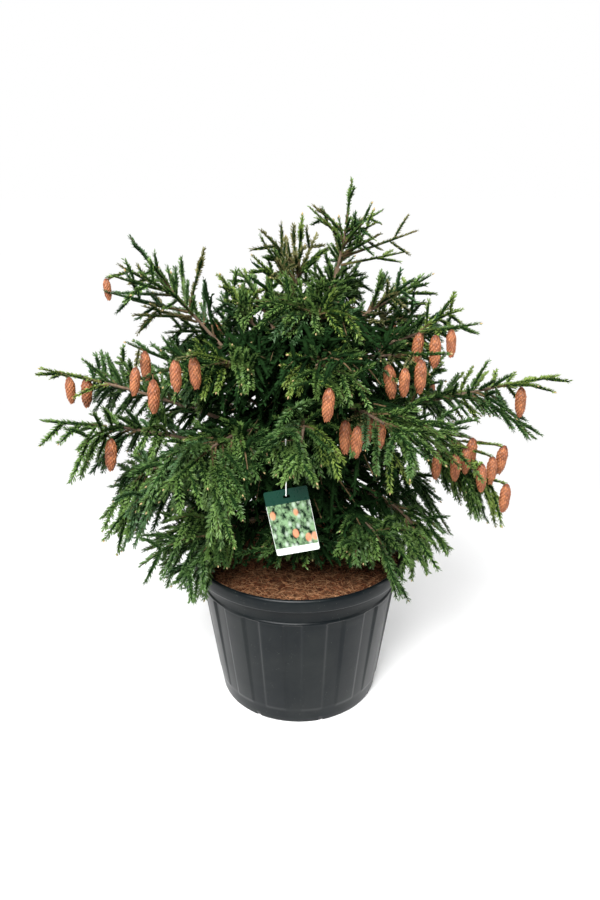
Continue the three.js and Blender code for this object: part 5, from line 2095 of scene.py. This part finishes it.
    def cone_views(self) -> tuple[Array, Array]:
        """Work out where the cones are seen from.

        Returns:
            tuple[Array, Array]: the middle of each, and the way to the eye.
        """
        middles = np.array([top + axis * (RULE.cone_length / 2.0) for _, top, axis in self.plant.cones])
        ways = [unit(np.array(PHOTO_EYE) - middle) if middle[1] < 0.0 else unit(middle * LEVEL)
                for middle in middles]
        return middles, np.array(ways)

    def hides_cone(self, line: Array, nearest: float = 1.0) -> bool:
        """Say whether a line would hang in front of a cone.

        Args:
            line: the line.
            nearest: the share of the room ahead of the cone that counts.

        Returns:
            bool: whether it would.
        """
        middles, ways = self.views
        reach, aside, above = self.cone_room
        reach *= nearest
        away = line[:, None, :] - middles
        ahead = np.einsum("ijk,jk->ij", away, ways)
        off = away - ahead[..., None] * ways
        near = (np.hypot(off[..., 0], off[..., 1]) / aside) ** 2 + (off[..., 2] / above) ** 2 < 1.0
        return bool((near & (ahead > 0.0) & (ahead < reach)).any())

    def clear_of_soil(self, line: Array) -> Array:
        """Return the part of a line before it hangs into the pot's mouth."""
        over = self.over_soil(line)
        return line[:int(np.argmax(over))] if over.any() else line

    def limb_shoots(self, limb: Limb, ends: Pair, lengths: Pair, random: Seeded, size: float) -> list[Shoot]:
        """Return single shoots along a limb, which hide its bark.

        Args:
            limb: the limb.
            ends: the shares of the limb between which they stand.
            lengths: the shortest and the longest, in mm.
            random: the row of numbers to draw from.
            size: the size of their needles.

        Returns:
            list[Shoot]: the shoots.
        """
        begin, finish = ends
        count = int(norm(limb.at(finish) - limb.at(begin)) / self.bough_spacing)
        shoots = []
        for i in range(count):
            share = lerp(begin, finish, (i + random()) / count)
            along = limb.along(share)
            side = unit(np.cross(along, (0.12, 0.2, 0.95)))
            above = np.cross(side, along)
            upright = abs(along[2]) > RULE.upright
            turn = random.between(0.0, tau) if upright else random.between(-0.5, pi + 0.5)
            out = side * cos(turn) + above * sin(turn)
            angle = radians(random.between(*self.bough_angles))
            way = unit(along * cos(angle) + out * sin(angle))
            foot = limb.at(share) + out * (0.5 * limb.radius(share))
            line = self.bowed(foot, way, random.between(*lengths), self.droop, along)
            clear = np.all(self.plant.label.clear(line, RULE.label_margin)) and not self.hides_cone(line)
            if clear and not self.over_soil(line).any():
                shoots.append(Shoot(line, size))
        return shoots

    @staticmethod
    def bowed(foot: Array, way: Array, length: float, droop: float, ahead: Array) -> Array:
        """Draw the line of a shoot that droops and bends forward a little.

        Args:
            foot: where it starts.
            way: the way it leaves.
            length: its length.
            droop: the share of its length that its tip droops.
            ahead: the way it bends.

        Returns:
            Array: four points.
        """
        shares = np.array((0.0, 0.34, 0.68, 1.0))[:, None]
        return (foot + way * (length * shares) - UP * (droop * length * shares ** 2)
                + ahead * (0.1 * length * shares ** 2))

    def add(self, tint: Tint, shoots: list[Shoot], random: Seeded, budded: bool) -> None:
        """Keep shoots under their tint, and a bud at some of their tips.

        Args:
            tint: the tint.
            shoots: the shoots.
            random: the row of numbers to draw from.
            budded: whether they have buds.
        """
        self.shoots.setdefault(tint, []).extend(shoots)
        if budded:
            for shoot in shoots:
                if random() < self.bud_share:
                    ahead = unit(shoot.line[-1] - shoot.line[-2])
                    self.buds.append((shoot.line[-1] + ahead * 3.5, ahead, random.between(0.9, 1.35)))

    def gather(self) -> None:
        """Work out every shoot of the crown."""
        self.views = self.cone_views()
        for mass in self.plant.masses:
            random = Seeded(7000 + mass.index)
            habit = Habit.of(mass.row)
            for spray in mass.sprays:
                tint = self.tint(mass, spray, True, random)
                self.add(tint, self.shoots_of(spray, random, habit, True), random, True)
            for spray in mass.fill:
                tint = self.tint(mass, spray, False, random)
                self.add(tint, self.shoots_of(spray, random, habit), random, False)
            lengths = self.stiff_lengths if habit in (Habit.POINTED, Habit.STIFF) else self.loose_lengths
            if habit is Habit.POINTED:
                for _ in range(self.leader_rounds):
                    self.add(Tint.MID, self.limb_shoots(mass.limb, (0.0, mass.stem_end), self.leader_lengths,
                                                        random, habit.value.needle), random, False)
            for shoot in self.limb_shoots(mass.limb, (self.bough_begin, mass.stem_end), lengths, random,
                                          habit.value.needle):
                other = Tint.MID if random() < 0.3 else Tint.DEEP
                # Bough shoots in the crown's middle get the inner tint: painted shade
                self.add(Tint.INNER if self.deep(shoot.line[0]) else other, [shoot], random, False)
        random = Seeded(6999)
        # The sprays round the trunk and the left stem all get the inner tint: painted shade
        for spray in self.plant.inner:
            self.add(Tint.INNER, self.shoots_of(spray, random, Habit.WEEPING, True), random, False)
        for hold, top, _ in self.plant.cones:
            if norm(top - hold) > self.bare_stalk:
                line = np.array([lerp(hold, top, share) for share in (0.0, 0.46, 0.92)])
                self.add(Tint.STRAW if random() < 0.5 else Tint.FRESH, [Shoot(line, 0.72)], random, False)
        self.add(Tint.MID, self.tie_cover(random), random, True)
        for stem in (self.plant.trunk, self.plant.left_stem):
            for _ in range(self.stem_rounds):
                ends = (stem.share_at_height(self.stem_begin), 0.98)
                self.add(Tint.MID, self.limb_shoots(stem, ends, self.stem_lengths, random, 0.74), random, False)

    def tie_cover(self, random: Seeded) -> list[Shoot]:
        """Hang shoots on the label's twig, in front of the tie's top.

        Args:
            random: the row of numbers to draw from.

        Returns:
            list[Shoot]: the shoots.
        """
        place = self.plant.label
        shoots = []
        for i in range(7):
            foot = lerp(place.tie_foot, place.tie_end, i / 6.0)
            way = unit(np.array((random.between(-0.5, 0.4), random.between(-0.75, -0.35), -0.8)))
            line = self.bowed(foot, way, random.between(44.0, 60.0), 0.3, -UP)
            shoots.append(Shoot(line, 0.92))
        return shoots

    def build(self) -> None:
        """Make the needles of each tint, the twigs and the buds."""
        self.gather()
        needle = linked("needle", self.needle())
        total = 0.0
        for number, tint in enumerate(Tint):
            shoots = self.shoots.get(tint, [])
            lengths = np.array([norm(np.diff(s.line, axis=0), axis=1).sum() for s in shoots])
            total += lengths.sum()
            inner = tint is Tint.INNER
            spacing = self.inner_spacing if inner else self.spacing
            width = self.inner_width if inner else self.needle_width
            count = max(1, ceil((lengths / spacing + 1.0).sum() / self.needles_per_piece))
            material = tint.value.material(self.kit)
            bounds = np.floor(np.cumsum(lengths) / lengths.sum() * count * 0.999999).astype(int)
            for part in range(count):
                chosen = [shoot for shoot, where in zip(shoots, bounds) if where == part]
                mesh = lines_mesh("shoots", [s.line for s in chosen],
                                  {"needle_size": [np.full(len(s.line), s.size) for s in chosen]})
                name = f"{tint.value.name}_{part + 1}"
                piece = grown(name, mesh, self.kit.needles, {
                    "Spacing": spacing * MM, "Needle Length": self.needle_length * MM,
                    "Needle Width": width * MM, "Seed": 100 * number + 10 * part,
                    "Needle": needle, "Material": material})
                settle(piece, "needles", *MASS_NODES)
        bpy.data.objects.remove(needle)
        log.info("%.0f m of shoots", total * MM)
        self.build_cores()
        self.build_twigs()
        self.build_buds()

    @staticmethod
    def needle() -> Mesh:
        """Return one needle of unit length along Z: a keeled blade, widest past its middle."""
        points = np.array(((0.0, -0.1, 0.0), (0.0, -0.04, 1.0), (-0.5, 0.12, 0.54), (0.5, 0.12, 0.62))) / MM
        return mesh_of("needle", points, [(0, 2, 3), (1, 3, 2), (0, 1, 2), (0, 3, 1)], smooth=False)

    def build_cores(self) -> None:
        """Make the slim cores of close-set needle bases that the needles stand out of, near black as painted
        shade.
        """
        material = SHADED.material(self.kit)
        steps = np.linspace(0.0, 1.0, 4)
        for name, inner, sides in (("shoot_cores", False, 4), ("inner_cores", True, 3)):
            radius = self.inner_core if inner else self.core_radius
            lines, thick = [], []
            for tint, shoots in self.shoots.items():
                if (tint is Tint.INNER) != inner:
                    continue
                for shoot in shoots:
                    spans = np.linspace(0.0, 1.0, len(shoot.line))
                    lines.append(np.stack([np.interp(steps, spans, axis) for axis in shoot.line.T], 1))
                    thick.append(np.array((0.4, 1.0, 0.95, 0.3)) * radius * shoot.size * MM)
            mesh = lines_mesh(name, lines, {"thick": thick})
            piece = grown(name, mesh, self.kit.twigs, {"Sides": sides, "Material": material})
            settle(piece, "needles", *MASS_NODES)

    def build_twigs(self) -> None:
        """Make the skin of the twigs, and the twigs that hold cones and label."""
        lines, thick = [], []
        for shoots in self.shoots.values():
            for shoot in (each for each in shoots if each.thick):
                lines.append(shoot.line)
                thick.append(np.linspace(*shoot.thick, len(shoot.line)) * MM)
        for hold, top, _ in self.plant.cones:
            middle = (hold + top) / 2.0 + UP * 0.04 * norm(hold - top)
            lines.append(np.array((hold, middle, top - UP * 4.0)))
            thick.append(np.array((1.4, 1.4, 2.2)) * MM)
        place = self.plant.label
        lines.append(np.array((place.tie_foot, (place.tie_foot + place.tie_end) / 2.0, place.tie_end)))
        thick.append(np.array((1.5, 1.5, 1.1)) * MM)
        mesh = lines_mesh("twigs", lines, {"thick": thick})
        piece = grown("twigs", mesh, self.kit.twigs, {"Sides": 3, "Material": TWIG.material(self.kit)})
        settle(piece, "bark", *MASS_NODES)

    def build_buds(self) -> None:
        """Make the buds."""
        around = np.arange(5) * tau / 5.0
        points = [(0.0, 0.0, -1.0)]
        for radius, z in ((1.55, 0.8), (1.2, 3.2)):
            points += [(radius * cos(t), radius * sin(t), z) for t in around]
        points.append((0.0, 0.0, 5.2))
        faces = []
        for j in range(5):
            k = (j + 1) % 5
            faces += [(0, 1 + k, 1 + j), (1 + j, 1 + k, 6 + k, 6 + j), (6 + j, 6 + k, 11)]
        places, facing, sizes = (np.array(each) for each in zip(*self.buds))
        upward = np.tile((0.3, 0.2, 1.0), (len(places), 1))
        mesh = points_mesh("buds", places, facing, upward, np.repeat(sizes[:, None], 3, 1))
        self.copied("buds", mesh_of("bud", np.array(points), faces), mesh, BUD, "needles", *MASS_NODES)


@dataclass
class Cones(Assembly):
    """The hanging cones: a core each, and scales in a golden spiral."""

    plant: Plant
    length: float = 72.0
    radius: float = 11.9
    scales: int = 124
    scale_length: float = 12.0
    scale_width: float = 9.4
    young_above: float = 940.0
    young: float = 0.66
    seed: int = 61

    def girth(self, share: float) -> float:
        """Return the share of the full radius at a share of the cone's length."""
        rise = smooth_step(share / 0.22) * 0.42 + 0.58
        return float(rise * (1.0 - smooth_step((share - 0.66) / 0.42) * 0.6))

    def scale(self) -> Mesh:
        """Shape one scale: a keeled diamond along Z, its back on +Y.

        Returns:
            Mesh: the scale.
        """
        half, long = self.scale_width / 2.0, self.scale_length
        outline = ((0.0, 0.0), (-half, 0.5 * long), (0.0, long), (half, 0.5 * long))
        points = [(x, 0.4 if x == 0.0 else -0.5, z) for x, z in outline]
        points += [(0.0, 1.9, 0.66 * long), (0.0, -1.0, 0.5 * long)]
        count = len(outline)
        faces = []
        for j in range(count):
            k = (j + 1) % count
            faces += [(j, k, count), (k, j, count + 1)]
        mesh = mesh_of("cone_scale", np.array(points), faces, smooth=False)
        # Painted shade values per point: dark at the rim and base, half at the tip, brightest on the ridge
        layer = mesh.attributes.new("shade", "FLOAT", "POINT")
        layer.data.foreach_set("value", (0.0, 0.0, 0.55, 0.0, 1.0, 0.0))
        return mesh

    def build(self) -> None:
        """Make scales and cores."""
        random = Seeded(self.seed)
        golden = pi * (3.0 - sqrt(5.0))
        places, facing, upward, sizes = [], [], [], []
        cores, faces = [], []
        for _, top, axis in self.plant.cones:
            first = unit(np.cross(axis, (0.2, 1.0, 0.1)))
            second = np.cross(axis, first)
            start = random.between(0.0, tau)
            whole = random.between(0.84, 1.02) * (self.young if top[2] > self.young_above else 1.0)
            for i in range(self.scales):
                share = (i + 0.5) / self.scales
                turn = start + golden * i
                out = first * cos(turn) + second * sin(turn)
                girth = self.girth(share)
                down = share * (self.length - 9.0)
                places.append(top + axis * down * whole + out * self.radius * girth * whole * 0.72)
                flare = radians(lerp(20.0, 6.0, share) + random.between(-2.0, 2.0))
                facing.append(axis * cos(flare) + out * sin(flare))
                upward.append(out)
                size = whole * lerp(1.0, 0.78, smooth_step((share - 0.5) / 0.5)) * (0.72 + 0.28 * girth)
                sizes.append((size, size, size))
            for share in (0.0, 0.08, 0.3, 0.55, 0.8, 0.97):
                radius = self.radius * 0.8 * self.girth(share) * whole * (0.5 if share in (0.0, 0.97) else 1.0)
                for turn in np.arange(10) * pi / 5.0:
                    cores.append(top + axis * share * (self.length - 4.0) * whole
                                 + (first * cos(turn) + second * sin(turn)) * radius)
            faces += ring_faces(6, 10, first=len(cores) - 60)
        mesh = points_mesh("scales", places, facing, upward, sizes)
        self.copied("cone_scales", self.scale(), mesh, ConeFinish(), "needles", *MASS_NODES)
        core = mesh_of("cone_cores", np.array(cores), faces)
        self.dressed("cone_cores", core, CORE, "needles", *MASS_NODES)


@dataclass
class PlantLabel(Assembly):
    """The card and the white loop that it hangs by."""

    place: LabelPlace
    corner: float = 4.0
    slot: Pair = (13.0, 6.0)
    thick: float = 1.2
    bend: float = 2.2
    tie_half: float = 5.5
    tie_wire: float = 1.1

    def outline(self) -> list[Pair]:
        """Draw the card's rim with round corners, down from the slot's top.

        Returns:
            list[Pair]: its corners.
        """
        half, top = self.place.WIDTH / 2.0, self.place.SLOT_DROP
        bottom = top - self.place.HEIGHT
        rim = []
        for x, z, begin in ((half, bottom, -90), (half, top, 0), (-half, top, 90), (-half, bottom, 180)):
            centre = (x - copysign(self.corner, x), z + (self.corner if z == bottom else -self.corner))
            for step in range(6):
                turn = radians(begin + 18 * step)
                rim.append((centre[0] + self.corner * cos(turn), centre[1] + self.corner * sin(turn)))
        return rim

    def card(self) -> Mesh:
        """Make the card, slightly bent, with its own UV map.

        Returns:
            Mesh: the card.
        """
        work = bmesh.new()
        rims = [self.outline()]
        width, height = self.slot
        rims.append([(-width / 2, -height), (-width / 2, 0.0), (width / 2, 0.0), (width / 2, -height)])
        edges = []
        for rim in rims:
            corners = [work.verts.new((x, 0.0, z)) for x, z in rim]
            edges += [work.edges.new((a, b)) for a, b in zip(corners, corners[1:] + corners[:1])]
        bmesh.ops.triangle_fill(work, edges=edges, use_beauty=True, normal=(0.0, -1.0, 0.0))
        top = self.place.SLOT_DROP
        for step in range(1, 14):
            z = top - self.place.HEIGHT * step / 14.0
            bmesh.ops.bisect_plane(work, geom=work.verts[:] + work.edges[:] + work.faces[:],
                                   plane_co=(0.0, 0.0, z), plane_no=(0.0, 0.0, 1.0))
        layer = work.loops.layers.uv.new("card")
        for face in work.faces:
            for loop in face.loops:
                x, _, z = loop.vert.co
                loop[layer].uv = (x / self.place.WIDTH + 0.5, (z - top) / self.place.HEIGHT + 1.0)
        extruded = bmesh.ops.extrude_face_region(work, geom=work.faces[:])
        moved = [part for part in extruded["geom"] if isinstance(part, bmesh.types.BMVert)]
        bmesh.ops.translate(work, vec=(0.0, -self.thick, 0.0), verts=moved)
        bmesh.ops.recalc_face_normals(work, faces=work.faces)
        turn = radians(self.place.TURN)
        for vert in work.verts:
            x, y, z = vert.co
            bow = self.bend * (1.0 - ((z + 56.0) / 68.0) ** 2) - self.bend * 0.4
            y += self.thick / 2.0 - bow
            vert.co = (x * cos(turn) - z * sin(turn), y, z * cos(turn) + x * sin(turn))
            vert.co += Vector((self.place.tie_top[0], self.place.tie_top[1], self.place.slot_top))
            vert.co *= MM
        mesh = bpy.data.meshes.new("plant_label_card")
        work.to_mesh(mesh)
        work.free()
        return mesh

    def loop(self) -> Mesh:
        """Make the tie: one closed loop of round wire.

        Returns:
            Mesh: the loop.
        """
        top = self.place.tie_top[2] + self.place.TWIG + GAP + self.tie_wire
        centres = []
        for z, begin in ((top - self.tie_half, 0.0), (top - self.place.DROP + self.tie_half, pi)):
            for step in range(15):
                turn = begin + pi * step / 14.0
                centres.append((self.place.tie_top[0], self.place.tie_top[1] + self.tie_half * cos(turn),
                                z + self.tie_half * sin(turn)))
        centres = np.array(centres)
        points = []
        for i, centre in enumerate(centres):
            axis = unit(centres[(i + 1) % len(centres)] - centres[i - 1])
            first = np.array((1.0, 0.0, 0.0))
            second = np.cross(axis, first)
            points += [centre + (first * cos(t) + second * sin(t)) * self.tie_wire
                       for t in np.arange(10) * pi / 5.0]
        return mesh_of("label_tie_loop", np.array(points), ring_faces(len(centres), 10, closed=True))

    def build(self) -> None:
        """Make card and tie."""
        self.dressed("plant_label_card", self.card(), CardFinish(), "label_card", "plant_label")
        self.dressed("label_tie_loop", self.loop(), TIE, "label_tie", "label_tie")


@dataclass
class Studio(Assembly):
    """Floor, soft lights and the camera."""

    floor_half: float = 40.0
    world: float = 0.18
    camera_place: Triple = tuple(value / 1000.0 for value in PHOTO_EYE)
    camera_tilt: float = 69.9
    lens: float = 30.0

    def floor(self) -> None:
        """Make the pale floor."""
        half = self.floor_half / MM
        points = np.array([(-half, -half, 0), (half, -half, 0), (half, half, 0), (-half, half, 0)])
        mesh = mesh_of("studio_floor", points, [(0, 1, 2, 3)], smooth=False)
        mesh.materials.append(PaperFinish().material(self.kit))
        linked("studio_floor", mesh)

    @staticmethod
    def softbox(name: str, place: tuple, target: tuple, size: tuple, power: float) -> None:
        """Make one rectangular light that looks at a target.

        Args:
            name: its name.
            place: where it hangs.
            target: the target.
            size: its width and height.
            power: its power, in watts.
        """
        light = bpy.data.lights.new(name, "AREA")
        light.shape, light.size, light.size_y, light.energy = "RECTANGLE", *size, power
        lamp = bpy.data.objects.new(name, light)
        bpy.context.scene.collection.objects.link(lamp)
        lamp.location = place
        way = Vector(target) - Vector(place)
        lamp.rotation_euler = way.to_track_quat("-Z", "Y").to_euler()

    def build(self) -> None:
        """Make all of it."""
        scene = bpy.context.scene
        scene.view_settings.view_transform = "Standard"
        self.floor()
        world = bpy.data.worlds.new("studio")
        world.use_nodes = True
        nodes = Nodes(world.node_tree)
        strength = nodes.ranged(nodes.out("ShaderNodeLightPath"), 0.0, 1.0, self.world, 1.0)
        nodes.feed(world.node_tree.nodes["Background"], {0: (1.0, 1.0, 1.0, 1.0), 1: strength})
        scene.world = world
        self.softbox("key_softbox", (-0.7, -2.3, 3.2), (0.0, 0.0, 0.6), (2.2, 2.2), 350.0)
        self.softbox("back_softbox", (0.8, 2.2, 3.2), (0.0, 0.0, 0.7), (2.0, 1.4), 60.0)
        self.softbox("left_strip", (-2.2, -0.3, 0.9), (0.0, 0.0, 0.3), (0.5, 1.8), 13.0)
        self.softbox("right_strip", (2.2, -0.3, 0.9), (0.0, 0.0, 0.3), (0.5, 1.8), 16.0)
        camera = bpy.data.cameras.new("studio_camera")
        camera.lens, camera.sensor_width = self.lens, 36.0
        rig = bpy.data.objects.new("studio_camera", camera)
        scene.collection.objects.link(rig)
        rig.location = self.camera_place
        rig.rotation_euler = (radians(self.camera_tilt), 0.0, 0.0)
        scene.camera = rig


def main() -> None:
    """Build the plant, its pot and the studio, in order."""
    logging.basicConfig(level=logging.INFO, format="%(relativeCreated)6.0f ms %(message)s")
    kit, plant = Kit(), Plant()
    log.info("skeleton: %d main and %d fill sprays, %d inner ones, %d cones",
             sum(len(mass.sprays) for mass in plant.masses), sum(len(mass.fill) for mass in plant.masses),
             len(plant.inner), len(plant.cones))
    for assembly in (NurseryPot(kit), Compost(kit), Timber(kit, plant), Foliage(kit, plant),
                     Cones(kit, plant), PlantLabel(kit, plant.label), Studio(kit)):
        assembly.build()
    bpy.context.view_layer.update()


if __name__ == "__main__":
    main()
